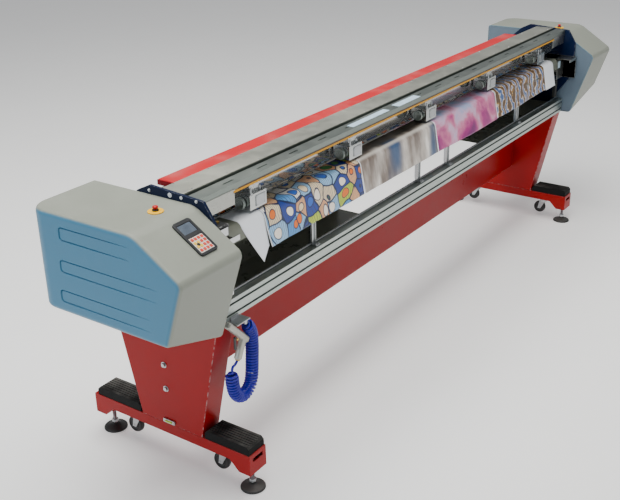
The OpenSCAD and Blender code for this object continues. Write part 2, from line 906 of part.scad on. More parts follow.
caster_fork(3);  // caster_fork_4
caster_wheel(0);  // caster_wheel_1
caster_wheel(1);  // caster_wheel_2
caster_wheel(2);  // caster_wheel_3
caster_wheel(3);  // caster_wheel_4
cutter_head(0);  // cutter_head_1
cutter_head(1);  // cutter_head_2
cutter_head(2);  // cutter_head_3
cutter_head(3);  // cutter_head_4
cutter_head(4);  // cutter_head_5
cutter_wheel(0);  // cutter_wheel_1
cutter_wheel(1);  // cutter_wheel_2
cutter_wheel(2);  // cutter_wheel_3
cutter_wheel(3);  // cutter_wheel_4
cutter_wheel(4);  // cutter_wheel_5
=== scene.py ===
"""The looks of a full-width printer cutter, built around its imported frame.

Everything is in metres in the row frame: +X runs along the machine, the operator stands at -Y.
"""

import logging
import math
from dataclasses import dataclass
from enum import Enum
from typing import Callable, Iterable, Sequence

import bmesh
import bpy
from mathutils import Matrix, Vector


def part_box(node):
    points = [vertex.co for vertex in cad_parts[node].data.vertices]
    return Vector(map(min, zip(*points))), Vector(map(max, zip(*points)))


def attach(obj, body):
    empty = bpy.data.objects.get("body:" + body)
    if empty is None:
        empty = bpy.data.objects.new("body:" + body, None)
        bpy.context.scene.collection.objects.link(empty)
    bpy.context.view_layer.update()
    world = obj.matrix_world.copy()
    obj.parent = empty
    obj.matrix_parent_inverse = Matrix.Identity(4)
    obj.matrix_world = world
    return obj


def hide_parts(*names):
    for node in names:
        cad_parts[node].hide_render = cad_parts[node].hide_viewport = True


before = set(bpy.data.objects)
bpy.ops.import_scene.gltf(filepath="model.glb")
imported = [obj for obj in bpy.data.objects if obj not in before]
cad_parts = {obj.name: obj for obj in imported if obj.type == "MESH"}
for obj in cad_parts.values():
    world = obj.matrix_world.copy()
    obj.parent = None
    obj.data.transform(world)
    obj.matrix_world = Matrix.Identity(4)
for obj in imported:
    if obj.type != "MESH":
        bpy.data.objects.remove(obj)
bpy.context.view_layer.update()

MACHINE = "machine"
EDGE_MARK = "rounded_edge"
# Face mark for groove faces that take the painted sky reflection colour.
GROOVE_REFLECTION_MARK = "groove_painted_reflection"
LOG = logging.getLogger("printer_cutter")

Point = Sequence[float]
Socket = bpy.types.NodeSocket


# ---------------------------------------------------------------- shader groups


def linear(code: str) -> tuple[float, float, float, float]:
    """Linear RGBA of a colour written as #rrggbb."""
    parts = [int(code[i:i + 2], 16) / 255 for i in (1, 3, 5)]
    return (*[c / 12.92 if c < 0.04045 else ((c + 0.055) / 1.055) ** 2.4 for c in parts], 1.0)


class Graph:
    """A node tree with short calls for adding and joining nodes."""

    def __init__(self, tree: bpy.types.NodeTree) -> None:
        """Wraps a tree."""
        self.tree = tree

    def node(self, kind: str, inputs: dict | None = None, **settings: object) -> bpy.types.Node:
        """Adds a node.

        Args:
            kind: the node's type name without its ShaderNode prefix.
            inputs: input name or index to a value or to the socket that feeds it.
            settings: properties of the node.

        Returns:
            The new node.
        """
        made = self.tree.nodes.new("ShaderNode" + kind)
        for key, value in settings.items():
            setattr(made, key, value)
        for key, value in (inputs or {}).items():
            if isinstance(value, bpy.types.NodeSocket):
                self.tree.links.new(value, made.inputs[key])
            else:
                made.inputs[key].default_value = value
        return made

    def math(self, operation: str, a: Socket | float, b: Socket | float = 0.0) -> Socket:
        """Output of a clamped Math node."""
        made = self.node("Math", {0: a, 1: b}, operation=operation, use_clamp=True)
        return made.outputs[0]

    def fade(self, value: Socket, low: float, high: float, to_low: float = 0.0,
             to_high: float = 1.0) -> Socket:
        """Value mapped from low..high onto to_low..to_high, clamped and smooth."""
        made = self.node("MapRange", {"Value": value, 1: low, 2: high, 3: to_low, 4: to_high},
                         interpolation_type="SMOOTHSTEP")
        return made.outputs["Result"]

    def blend(self, mask: Socket | float, a: Socket | tuple, b: Socket | tuple) -> Socket:
        """Colour a where the mask is 0 and b where it is 1."""
        made = self.node("Mix", data_type="RGBA")
        for key, value in ((0, mask), (6, a), (7, b)):
            if isinstance(value, bpy.types.NodeSocket):
                self.tree.links.new(value, made.inputs[key])
            else:
                made.inputs[key].default_value = value
        return made.outputs[2]

    def ramp(self, value: Socket, stops: Sequence[tuple[float, tuple]], constant: bool = False) -> Socket:
        """Colour ramp with the given stops of place and colour."""
        made = self.node("ValToRGB", {0: value})
        band = made.color_ramp
        band.interpolation = "CONSTANT" if constant else "LINEAR"
        while len(band.elements) < len(stops):
            band.elements.new(0.5)
        for element, (place, colour) in zip(band.elements, stops):
            element.position = place
            element.color = colour
        return made.outputs[0]


def shader_group(
    name: str,
    inputs: dict[str, tuple[str, object]],
    outputs: dict[str, str],
    wire: Callable[[Graph, bpy.types.Node, bpy.types.Node], None],
) -> bpy.types.NodeTree:
    """Makes a shader node group once and returns it.

    Args:
        name: the group's name.
        inputs: input name to its socket kind and default value.
        outputs: output name to its socket kind.
        wire: adds the nodes between the group's input and output.

    Returns:
        The group's node tree.
    """
    if name in bpy.data.node_groups:
        return bpy.data.node_groups[name]
    tree = bpy.data.node_groups.new(name, "ShaderNodeTree")
    for key, (kind, value) in inputs.items():
        socket = tree.interface.new_socket(key, in_out="INPUT", socket_type="NodeSocket" + kind)
        if value is not None:
            socket.default_value = value
    for key, kind in outputs.items():
        tree.interface.new_socket(key, in_out="OUTPUT", socket_type="NodeSocket" + kind)
    graph = Graph(tree)
    wire(graph, tree.nodes.new("NodeGroupInput"), tree.nodes.new("NodeGroupOutput"))
    return tree


def mottle_group() -> bpy.types.NodeTree:
    """Group that varies a colour slightly, at two scales, as paint and castings do."""

    def wire(g: Graph, into: bpy.types.Node, out: bpy.types.Node) -> None:
        """Adds two noises and a brighten step."""
        broad = g.node("TexNoise", {"Vector": into.outputs["Vector"], "Scale": into.outputs["Scale"],
                                    "Detail": 3.0})
        fine_scale = g.node("Math", {0: into.outputs["Scale"], 1: 9.0}, operation="MULTIPLY")
        fine = g.node("TexNoise", {"Vector": into.outputs["Vector"], "Scale": fine_scale.outputs[0],
                                   "Detail": 4.0})
        mask = g.node("Mix", {0: 0.4, 2: broad.outputs[0], 3: fine.outputs[0]})
        swing = g.node("MapRange", {"Value": mask.outputs[0], 1: 0.3, 2: 0.7, 3: -1.0, 4: 1.0})
        gain = g.node("Math", {0: swing.outputs[0], 1: into.outputs["Amount"], 2: 1.0},
                      operation="MULTIPLY_ADD")
        tint = g.node("VectorMath", {0: into.outputs["Color"], "Scale": gain.outputs[0]},
                      operation="SCALE")
        g.tree.links.new(tint.outputs[0], out.inputs["Color"])
        g.tree.links.new(mask.outputs[0], out.inputs["Mask"])

    return shader_group(
        "mottle",
        {"Vector": ("Vector", None), "Color": ("Color", (0.5, 0.5, 0.5, 1)),
         "Scale": ("Float", 3.0), "Amount": ("Float", 0.08)},
        {"Color": "Color", "Mask": "Float"}, wire)


def wear_group() -> bpy.types.NodeTree:
    """Group that marks worn edges: the rounded edge faces, broken up by noise."""

    def wire(g: Graph, into: bpy.types.Node, out: bpy.types.Node) -> None:
        """Adds the edge mask and the noise that breaks it up."""
        edge = g.node("Attribute", attribute_name=EDGE_MARK).outputs["Fac"]
        noise = g.node("TexNoise", {"Vector": into.outputs["Vector"], "Scale": 60.0, "Detail": 5.0})
        patches = g.fade(noise.outputs[0], 0.42, 0.62)
        mask = g.math("MULTIPLY", edge, patches)
        g.tree.links.new(g.math("MULTIPLY", mask, into.outputs["Amount"]), out.inputs["Mask"])

    return shader_group("edge_wear", {"Vector": ("Vector", None), "Amount": ("Float", 0.5)},
                        {"Mask": "Float"}, wire)


def dust_group() -> bpy.types.NodeTree:
    """Group that marks where dust settles: faces that look up, in soft patches."""

    def wire(g: Graph, into: bpy.types.Node, out: bpy.types.Node) -> None:
        """Adds the upward mask and its patches."""
        shape = g.node("NewGeometry")
        upward = g.node("SeparateXYZ", {0: shape.outputs["Normal"]})
        top = g.fade(upward.outputs[2], 0.5, 1.0)
        noise = g.node("TexNoise", {"Vector": into.outputs["Vector"], "Scale": 7.0, "Detail": 6.0})
        patches = g.fade(noise.outputs[0], 0.4, 0.75)
        mask = g.math("MULTIPLY", top, patches)
        g.tree.links.new(g.math("MULTIPLY", mask, into.outputs["Amount"]), out.inputs["Mask"])

    return shader_group("settled_dust", {"Vector": ("Vector", None), "Amount": ("Float", 0.2)},
                        {"Mask": "Float"}, wire)


def grain_group() -> bpy.types.NodeTree:
    """Group for a fine surface height: noise stretched by a scale on each axis."""

    def wire(g: Graph, into: bpy.types.Node, out: bpy.types.Node) -> None:
        """Adds the stretched noise."""
        place = g.node("Mapping", {"Vector": into.outputs["Vector"], "Scale": into.outputs["Scale"]})
        noise = g.node("TexNoise", {"Vector": place.outputs[0], "Scale": 1.0, "Detail": 3.0,
                                    "Roughness": 0.6})
        g.tree.links.new(noise.outputs[0], out.inputs["Height"])

    return shader_group("surface_grain",
                        {"Vector": ("Vector", None), "Scale": ("Vector", (900.0, 900.0, 900.0))},
                        {"Height": "Float"}, wire)


# ---------------------------------------------------------------- finishes


@dataclass(frozen=True)
class Finish:
    """A surface finish that becomes one procedural material.

    Sizes are in metres. grain is the scale of the fine relief on each axis, in cycles a metre.
    """

    name: str
    colour: str
    rough: float
    metal: float = 0.0
    coat: float = 0.0
    shine: float = 0.5
    grain: tuple[float, float, float] = (700.0, 700.0, 700.0)
    relief: float = 0.0
    mottle: float = 0.06
    mottle_scale: float = 3.0
    wear: float = 0.0
    wear_colour: str = "#b9bbb8"
    dust: float = 0.0
    rough_swing: float = 0.12
    painted_reflection_colour: str = ""
    alpha: float = 1.0
    glow: float = 0.0

    def material(self) -> bpy.types.Material:
        """The finish's material, made on first use."""
        if self.name in bpy.data.materials and bpy.data.materials[self.name].get("dressed"):
            return bpy.data.materials[self.name]
        made = bpy.data.materials.new(self.name)
        made["dressed"] = True
        made.use_nodes = True
        graph = Graph(made.node_tree)
        shader = made.node_tree.nodes["Principled BSDF"]
        self.wire(graph, shader)
        return made

    def wire(self, g: Graph, shader: bpy.types.Node) -> None:
        """Adds the finish's nodes in front of the Principled shader.

        Args:
            g: the material's graph.
            shader: its Principled node.
        """
        place = g.node("TexCoord").outputs["Object"]
        colour = self.base_colour(g)
        mottle = g.node("Group", node_tree=mottle_group())
        for key, value in (("Scale", self.mottle_scale), ("Amount", self.mottle)):
            mottle.inputs[key].default_value = value
        g.tree.links.new(place, mottle.inputs["Vector"])
        if isinstance(colour, bpy.types.NodeSocket):
            g.tree.links.new(colour, mottle.inputs["Color"])
        else:
            mottle.inputs["Color"].default_value = colour
        colour = mottle.outputs["Color"]
        rough = g.fade(mottle.outputs["Mask"], 0.3, 0.7, max(0.02, self.rough - self.rough_swing / 2),
                       min(1.0, self.rough + self.rough_swing / 2))
        if self.wear:
            wear = g.node("Group", {"Vector": place, "Amount": self.wear}, node_tree=wear_group())
            colour = g.blend(wear.outputs["Mask"], colour, linear(self.wear_colour))
        if self.dust:
            dust = g.node("Group", {"Vector": place, "Amount": self.dust}, node_tree=dust_group())
            colour = g.blend(dust.outputs["Mask"], colour, linear("#c9c6be"))
            rough = g.node("Mix", {0: dust.outputs["Mask"], 2: rough, 3: 0.85}).outputs[0]
        g.tree.links.new(colour, shader.inputs["Base Color"])
        g.tree.links.new(rough, shader.inputs["Roughness"])
        shader.inputs["Metallic"].default_value = self.metal
        shader.inputs["Specular IOR Level"].default_value = self.shine
        shader.inputs["Coat Weight"].default_value = self.coat
        shader.inputs["Coat Roughness"].default_value = 0.12
        shader.inputs["Alpha"].default_value = self.alpha
        shader.inputs["Emission Color"].default_value = linear(self.colour)
        shader.inputs["Emission Strength"].default_value = self.glow
        if self.relief:
            grain = g.node("Group", {"Vector": place, "Scale": self.grain}, node_tree=grain_group())
            bump = g.node("Bump", {"Height": grain.outputs["Height"], "Strength": self.relief,
                                   "Distance": 0.001})
            g.tree.links.new(bump.outputs[0], shader.inputs["Normal"])

    def base_colour(self, g: Graph) -> Socket | tuple:
        """Colour before it is varied; a painted sky reflection colour shows on faces along X and on marked
        groove faces.
        """
        if not self.painted_reflection_colour:
            return linear(self.colour)
        shape = g.node("NewGeometry")
        parts = g.node("SeparateXYZ", {0: shape.outputs["Normal"]})
        sideways = g.node("Math", {0: parts.outputs[0]}, operation="ABSOLUTE")
        pressed = g.node("Attribute", attribute_name=GROOVE_REFLECTION_MARK).outputs["Fac"]
        # Painted reflection: the tint grows as a face turns along X and fills the marked groove faces.
        mask = g.math("MAXIMUM", g.fade(sideways.outputs[0], 0.55, 0.95), pressed)
        return g.blend(mask, linear(self.colour), linear(self.painted_reflection_colour))


class Direction(Enum):
    """Which way a metal was brushed or drawn, as grain scales on X, Y and Z."""

    ALONG = (14.0, 1500.0, 1500.0)
    UP = (1500.0, 1500.0, 14.0)
    NONE = (900.0, 900.0, 900.0)


def metal(name: str, colour: str, rough: float, way: Direction, relief: float = 0.12,
          **more: object) -> Finish:
    """A bare metal finish brushed or drawn one way."""
    return Finish(name, colour, rough, metal=1.0, grain=way.value, relief=relief, **more)


RED_COAT = Finish("red_powder_coat", "#940004", 0.34, shine=0.16, coat=0.04, relief=0.10,
                  mottle=0.09, wear=0.5, dust=0.10, rough_swing=0.14)
# The hood's blue tint is a painted sky reflection on its end faces and in its grooves.
HOOD_SHELL = Finish("hood_paint", "#8d9186", 0.42, shine=0.3, grain=(1400.0, 1400.0, 1400.0), relief=0.14,
                    mottle=0.035, dust=0.06, painted_reflection_colour="#427a98")
PANEL_GREY = Finish("panel_paint", "#5c6d7c", 0.45, relief=0.10, mottle=0.06, wear=0.3)
# Navy powder coat, darkened to paint the shade the side frames stand in.
NAVY_COAT_AND_SHADE = Finish("navy_coat_and_painted_shade", "#041636", 0.33, shine=0.2, coat=0.04, relief=0.08,
                   wear=0.45, dust=0.05)
TREAD_RUBBER = Finish("tread_rubber", "#0e0e0e", 0.72, shine=0.2, relief=0.35, mottle=0.2, dust=0.18)
WHEEL_RUBBER = Finish("wheel_rubber", "#232323", 0.6, relief=0.2, mottle=0.15, dust=0.1)
CAST_BLACK = Finish("cast_black", "#1d1e1e", 0.5, relief=0.3, mottle=0.15, wear=0.4, dust=0.1)
RAIL_ALLOY = metal("anodised_rail", "#aab2ad", 0.36, Direction.ALONG, wear=0.2, mottle=0.05)
BEAM_ALLOY = metal("anodised_beam", "#8b938d", 0.4, Direction.ALONG, mottle=0.07, dust=0.12)
COVER_ALLOY = metal("pale_cover", "#c9cabd", 0.42, Direction.ALONG, mottle=0.05, dust=0.15)
STEEL = metal("ground_steel", "#b4b6b6", 0.26, Direction.ALONG, mottle=0.07)
ZINC = metal("zinc_plate", "#b3b6b8", 0.32, Direction.NONE, mottle=0.12, mottle_scale=25.0)
POLISHED = metal("polished_block", "#b9bcba", 0.16, Direction.UP, relief=0.03, mottle=0.06)
STAINLESS = metal("stainless_sheet", "#a9aaa4", 0.3, Direction.UP, mottle=0.09, mottle_scale=9.0)
DARK_SHEET = Finish("dark_sheet", "#74776b", 0.3, metal=0.2, relief=0.1,
                    grain=Direction.ALONG.value, mottle=0.25, mottle_scale=2.0)
BLACK_PART = Finish("satin_black", "#191a1b", 0.38, relief=0.12, mottle=0.12, wear=0.3)
BAR_RED = Finish("bar_red_coat", "#c4121e", 0.4, shine=0.3, coat=0.05, relief=0.1, mottle=0.07, dust=0.12)
# Painted shade: a darker copy of the bar's red for its end faces.
BAR_END_SHADE = Finish("bar_end_painted_shade", "#8f0414", 0.35, shine=0.3, relief=0.1)
YELLOW_COAT = Finish("yellow_coat", "#d69800", 0.4, shine=0.3, relief=0.08, mottle=0.1, wear=0.4,
                     wear_colour="#7a6a3a")
CLEAR = Finish("clear_guard", "#a9b0b2", 0.08, mottle=0.02, rough_swing=0.04, alpha=0.04)
HOSE_BLUE = Finish("hose_polyurethane", "#16109a", 0.22, shine=0.35, coat=0.25, relief=0.05, mottle=0.12,
                   mottle_scale=12.0, rough_swing=0.1)
GUN_CAST = Finish("gun_casting", "#a9a89d", 0.38, metal=0.55, relief=0.2, mottle=0.12,
                  mottle_scale=20.0, wear=0.4)
BRASS = metal("brass_fitting", "#b79a58", 0.3, Direction.NONE, mottle=0.1)
SIGNAL_YELLOW = Finish("signal_yellow", "#ffc000", 0.36, shine=0.3, coat=0.1, relief=0.06, mottle=0.04)
SIGNAL_RED = Finish("signal_red", "#c20a0a", 0.28, shine=0.3, coat=0.2, relief=0.05, mottle=0.05)
KEYPAD_BLACK = Finish("keypad_bezel", "#14171b", 0.42, relief=0.14, mottle=0.1)
KEYPAD_FIELD = Finish("keypad_field", "#ece6dc", 0.45, relief=0.06, mottle=0.04)
KEY_RED = Finish("key_red", "#d3402f", 0.4, relief=0.08, mottle=0.06)
KEY_YELLOW = Finish("key_yellow", "#f0bf2a", 0.4, relief=0.08, mottle=0.05)
KEY_BLACK = Finish("key_black", "#22201e", 0.4, relief=0.08)
DISPLAY = Finish("display_glass", "#56606d", 0.12, coat=0.6, mottle=0.25, mottle_scale=30.0)
VIAL = Finish("vial_fluid", "#b8cf2c", 0.12, coat=0.8, mottle=0.1, mottle_scale=40.0)
WHITE_SCREW = Finish("white_screw", "#e2e6ea", 0.3, coat=0.3, mottle=0.04)
LABEL_BLUE = Finish("blank_label", "#bcd6e6", 0.4, mottle=0.1, mottle_scale=25.0)
GRIP_RUBBER = Finish("roller_grip", "#2c2c2c", 0.65, relief=0.3, mottle=0.1)
# Painted shade: the dark finish of boxes set into gaps and recesses.
SLOT_SHADE_PAINT = Finish("slot_shadow", "#1a1d1c", 0.7, mottle=0.1)


@dataclass(frozen=True)
class Print(Finish):
    """A printed film with a white margin, drawn by a rule on the sheet's own map."""

    art: Callable[[Graph, Socket], Socket] | None = None

    def base_colour(self, g: Graph) -> Socket | tuple:
        """The printed picture beside its white margin, or plain white film."""
        if self.art is None:
            return linear(self.colour)
        flat = g.node("TexCoord").outputs["UV"]
        margin = g.fade(g.node("SeparateXYZ", {0: flat}).outputs[0], 0.0055, 0.0075)
        return g.blend(margin, linear("#f6faff"), self.art(g, flat))


def cells(g: Graph, flat: Socket) -> Socket:
    """Overlapping round cells in cream, blue, orange and green, ringed and lined in ink."""
    warp = g.node("TexNoise", {"Vector": flat, "Scale": 8.0, "Detail": 1.0})
    moved = g.node("VectorMath", {0: warp.outputs[1], "Scale": 0.06}, operation="SCALE")
    at = g.node("VectorMath", {0: flat, 1: moved.outputs[0]}, operation="ADD").outputs[0]
    fill = g.node("TexVoronoi", {"Vector": at, "Scale": 13.5, "Randomness": 0.75})
    key = g.node("SeparateColor", {0: fill.outputs["Color"]})
    body = g.ramp(key.outputs[0], ((0.0, linear("#f0dcb8")), (0.2, linear("#9cc9ee")),
                                   (0.38, linear("#f7f5ef")), (0.52, linear("#1d3f9c")),
                                   (0.64, linear("#f0b583")), (0.76, linear("#c4d83a")),
                                   (0.86, linear("#5b9fdf"))), True)
    crown = g.ramp(key.outputs[1], ((0.0, linear("#f6791c")), (0.24, linear("#fff6e8")),
                                    (0.42, linear("#2f66c8")), (0.6, linear("#f7e0b8")),
                                    (0.8, linear("#2f8a3a"))), True)
    away = fill.outputs["Distance"]
    colour = g.blend(g.fade(away, 0.30, 0.32), crown, body)
    ring = g.math("MULTIPLY", g.fade(away, 0.27, 0.30), g.fade(away, 0.35, 0.32))
    colour = g.blend(ring, colour, linear("#2a2a4a"))
    pleats = g.node("TexWave", {"Vector": at, "Scale": 30.0, "Distortion": 3.0})
    lines = g.math("MULTIPLY", g.fade(pleats.outputs[0], 0.16, 0.04), g.fade(away, 0.34, 0.38))
    colour = g.blend(g.math("MULTIPLY", lines, 0.75), colour, linear("#3a3448"))
    line = g.node("TexVoronoi", {"Vector": at, "Scale": 13.5, "Randomness": 0.75},
                  feature="DISTANCE_TO_EDGE")
    return g.blend(g.fade(line.outputs["Distance"], 0.025, 0.06), linear("#16264e"), colour)


def along(g: Graph, flat: Socket) -> Socket:
    """How far along the strip a place is, in metres."""
    return g.node("SeparateXYZ", {0: flat}).outputs[1]


def haze(g: Graph, flat: Socket) -> Socket:
    """Dark brown behind the fold, a painted highlight along the fold's crest, then silver brown with blue
    and white blurs.
    """
    drawn = g.node("VectorMath", {0: flat, 1: (1.0, 0.35, 1.0)}, operation="MULTIPLY").outputs[0]
    broad = g.node("TexNoise", {"Vector": drawn, "Scale": 9.0, "Detail": 4.0})
    base = g.ramp(broad.outputs[0], ((0.3, linear("#4a3b30")), (0.45, linear("#8d8076")),
                                     (0.56, linear("#c9c0b6")), (0.66, linear("#fbf6ee"))))
    spot = g.node("TexNoise", {"Vector": drawn, "Scale": 5.4, "Detail": 1.0})
    base = g.blend(g.fade(spot.outputs[0], 0.45, 0.66), base, linear("#174f80"))
    # Noise for the darker colours behind the fold.
    rear_noise = g.node("TexNoise", {"Vector": flat, "Scale": 9.0, "Detail": 5.0})
    back = g.ramp(rear_noise.outputs[0], ((0.35, linear("#17130f")), (0.6, linear("#5a4d40")),
                                    (0.75, linear("#a39482"))))
    place = along(g, flat)
    # Painted highlight: a pale band across the strip where the fold turns.
    crest = g.math("MULTIPLY", g.fade(place, 0.07, 0.085), g.fade(place, 0.105, 0.088))
    base = g.blend(g.math("MULTIPLY", crest, 0.7), base, linear("#fff8ec"))
    return g.blend(g.fade(place, 0.045, 0.082), back, base)


def clouds(g: Graph, flat: Socket) -> Socket:
    """Clouds in pink, lilac and pale blue that deepen to magenta towards the free end."""
    broad = g.node("TexNoise", {"Vector": flat, "Scale": 6.5, "Detail": 5.0, "Distortion": 0.4})
    mask = g.math("ADD", broad.outputs[0], g.fade(along(g, flat), 0.05, 0.24, -0.10, 0.10))
    return g.ramp(mask, ((0.32, linear("#a9b6dc")), (0.42, linear("#dcb6d4")),
                         (0.5, linear("#d9779f")), (0.6, linear("#b02a80")), (0.72, linear("#7a1c6a"))))


def streaks(g: Graph, flat: Socket) -> Socket:
    """Wavy streaks in gold, blue and white."""
    wave = g.node("TexWave", {"Vector": flat, "Scale": 5.0, "Distortion": 9.0, "Detail": 4.0,
                              "Detail Scale": 2.2})
    return g.ramp(wave.outputs[0], ((0.1, linear("#3f5f96")), (0.32, linear("#dfe2ea")),
                                    (0.55, linear("#c08f35")), (0.8, linear("#5a4022"))))


FILM = {"rough": 0.32, "coat": 0.15, "mottle": 0.03, "mottle_scale": 6.0, "rough_swing": 0.06}
WHITE_EDGE = Print("white_edge", "#f6faff", **FILM)
PRINTS = (WHITE_EDGE, Print("print_cells", "#ffffff", art=cells, **FILM),
          Print("print_haze", "#ffffff", art=haze, **FILM),
          Print("print_clouds", "#ffffff", art=clouds, **FILM),
          Print("print_streaks", "#ffffff", art=streaks, **FILM), WHITE_EDGE)
BLADE_MIRROR = metal("blade_polish", "#b9b6b0", 0.07, Direction.ALONG, relief=0.0, mottle=0.06,
                     rough_swing=0.04)
# Painted shadow: a thin brown line laid just above the yellow strip.
STRIP_SHADOW_PAINT = Finish("painted_strip_shadow", "#5b4030", 0.45, relief=0.05)
KNOB_GREY = Finish("knob_grey", "#8f9a92", 0.3, metal=0.2, coat=0.4, relief=0.05, mottle=0.08)
MOTOR_GREY = metal("motor_alloy", "#6d706e", 0.34, Direction.NONE, mottle=0.1)
MIRROR_STEEL = metal("bright_bracket", "#c3c5c4", 0.16, Direction.UP, relief=0.05, mottle=0.08,
                     mottle_scale=12.0)


# ---------------------------------------------------------------- modelling helpers


def new_mesh() -> bmesh.types.BMesh:
    """An empty mesh to model in."""
    return bmesh.new()


def add_box(bm: bmesh.types.BMesh, low: Point, high: Point, turn: Matrix | None = None) -> list:
    """Adds a box between two corners.

    Args:
        bm: the mesh to add to.
        low: the lowest corner.
        high: the highest corner.
        turn: an optional transform applied afterwards.

    Returns:
        The box's vertices.
    """
    low, high = Vector(low), Vector(high)
    shift = Matrix.Translation((low + high) / 2) @ Matrix.Diagonal((*(high - low), 1.0))
    verts = bmesh.ops.create_cube(bm, size=1.0, matrix=(turn or Matrix()) @ shift)["verts"]
    return verts


def add_rod(bm: bmesh.types.BMesh, start: Point, end: Point, radius: float,
            end_radius: float | None = None, segments: int = 32) -> list:
    """Adds a cylinder or cone between two points and returns its vertices."""
    start, end = Vector(start), Vector(end)
    run = end - start
    turn = Vector((0, 0, 1)).rotation_difference(run).to_matrix().to_4x4()
    place = Matrix.Translation((start + end) / 2) @ turn
    made = bmesh.ops.create_cone(
        bm, cap_ends=True, segments=segments, radius1=radius,
        radius2=radius if end_radius is None else end_radius, depth=run.length, matrix=place)
    return made["verts"]


def add_lathe(bm: bmesh.types.BMesh, profile: Sequence[tuple[float, float]], centre: Point,
              axis: Point = (0, 0, 1), steps: int = 48) -> None:
    """Spins a profile of (radius, height) points about an axis through centre.

    Args:
        bm: the mesh to add to.
        profile: the outline from one pole to the other; a radius of 0 closes it.
        centre: the point at height 0.
        axis: the direction of the heights.
        steps: segments round the axis.
    """
    turn = Vector((0, 0, 1)).rotation_difference(Vector(axis)).to_matrix().to_4x4()
    place = Matrix.Translation(Vector(centre)) @ turn
    verts = [bm.verts.new(place @ Vector((r, 0.0, h))) for r, h in profile]
    edges = [bm.edges.new(pair) for pair in zip(verts, verts[1:])]
    bmesh.ops.spin(
        bm, geom=verts + edges, cent=Vector(centre), axis=place.to_3x3() @ Vector((0, 0, 1)),
        angle=math.tau, steps=steps, use_merge=True, use_duplicate=False)
    bmesh.ops.remove_doubles(bm, verts=bm.verts, dist=1e-6)


def add_prism(bm: bmesh.types.BMesh, outline: Sequence[Point], run: Point) -> list:
    """Adds a prism: a flat outline of 3-D points, extruded by a vector.

    Args:
        bm: the mesh to add to.
        outline: the corners in order.
        run: the vector to the other end face.

    Returns:
        The new faces.
    """
    face = bm.faces.new([bm.verts.new(Vector(p)) for p in outline])
    made = bmesh.ops.extrude_face_region(bm, geom=[face], use_keep_orig=True)["geom"]
    moved = [g for g in made if isinstance(g, bmesh.types.BMVert)]
    bmesh.ops.translate(bm, verts=moved, vec=Vector(run))
    linked = {f for v in moved for f in v.link_faces} | {face}
    bmesh.ops.recalc_face_normals(bm, faces=list(linked))
    return list(linked)


def sharp_edges(bm: bmesh.types.BMesh, angle: float = 30.0) -> list:
    """Edges whose two faces meet at more than the angle, in degrees."""
    limit = math.radians(angle)
    return [e for e in bm.edges if len(e.link_faces) == 2 and e.calc_face_angle(0.0) > limit]


def round_edges(bm: bmesh.types.BMesh, edges: Iterable, width: float, segments: int = 2) -> None:
    """Bevels the given edges to a round and marks the new faces, for wear."""
    edges = [e for e in edges if e.is_valid]
    mark = bm.faces.layers.float.get(EDGE_MARK) or bm.faces.layers.float.new(EDGE_MARK)
    if edges:
        made = bmesh.ops.bevel(bm, geom=edges, offset=width, offset_type="OFFSET", segments=segments,
                               profile=0.5, affect="EDGES", material=-1, clamp_overlap=True)
        for face in made["faces"]:
            face[mark] = 1.0


def make_piece(bm: bmesh.types.BMesh, name: str, finish: Finish, body: str = MACHINE,
               replaces: Sequence[str] = (), soft_angle: float = 35.0,
               extra: Sequence[Finish] = ()) -> bpy.types.Object:
    """Turns a mesh into a finished piece on a body.

    Args:
        bm: the modelled mesh; it is freed.
        name: the piece's name.
        finish: its main finish.
        body: the CAD body that it rides on.
        replaces: CAD nodes that it stands for.
        soft_angle: edges sharper than this stay sharp, in degrees.
        extra: further finishes, for faces whose material index is 1 or more.

    Returns:
        The new object.
    """
    bmesh.ops.remove_doubles(bm, verts=bm.verts, dist=1e-7)
    bmesh.ops.recalc_face_normals(bm, faces=bm.faces)
    for face in bm.faces:
        face.smooth = True
    for edge in sharp_edges(bm, soft_angle):
        edge.smooth = False
    mesh = bpy.data.meshes.new(name)
    bm.to_mesh(mesh)
    bm.free()
    made = bpy.data.objects.new(name, mesh)
    bpy.context.scene.collection.objects.link(made)
    for item in (finish, *extra):
        mesh.materials.append(item.material())
    even = made.modifiers.new("even_normals", "WEIGHTED_NORMAL")
    even.keep_sharp = True
    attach(made, body)
    if replaces:
        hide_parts(*replaces)
    LOG.info("%s: %d faces on %s", name, len(mesh.polygons), body)
    return made


def cad_copy(node: str) -> bmesh.types.BMesh:
    """A welded copy of a CAD node's mesh with its flat faces joined."""
    bm = new_mesh()
    bm.from_mesh(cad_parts[node].data)
    bmesh.ops.remove_doubles(bm, verts=bm.verts, dist=1e-6)
    bmesh.ops.dissolve_limit(bm, angle_limit=math.radians(0.4), verts=bm.verts, edges=bm.edges)
    return bm


def soften(node: str, finish: Finish, width: float, body: str = MACHINE,
           segments: int = 2, angle: float = 40.0) -> bpy.types.Object:
    """Stands a copy of a CAD node with rounded edges in for the node."""
    bm = cad_copy(node)
    round_edges(bm, sharp_edges(bm, angle), width, segments)
    return make_piece(bm, node + "_shape", finish, body, [node])


def dress(node: str, finish: Finish) -> None:
    """Gives a CAD node that keeps its own shape a finish."""
    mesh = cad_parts[node].data
    mesh.materials.clear()
    mesh.materials.append(finish.material())
    LOG.info("%s: dressed in %s", node, finish.name)


def corners(node: str) -> tuple[Vector, Vector]:
    """Lowest and highest corner of a CAD node."""
    low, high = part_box(node)
    return Vector(low), Vector(high)


# ---------------------------------------------------------------- studio


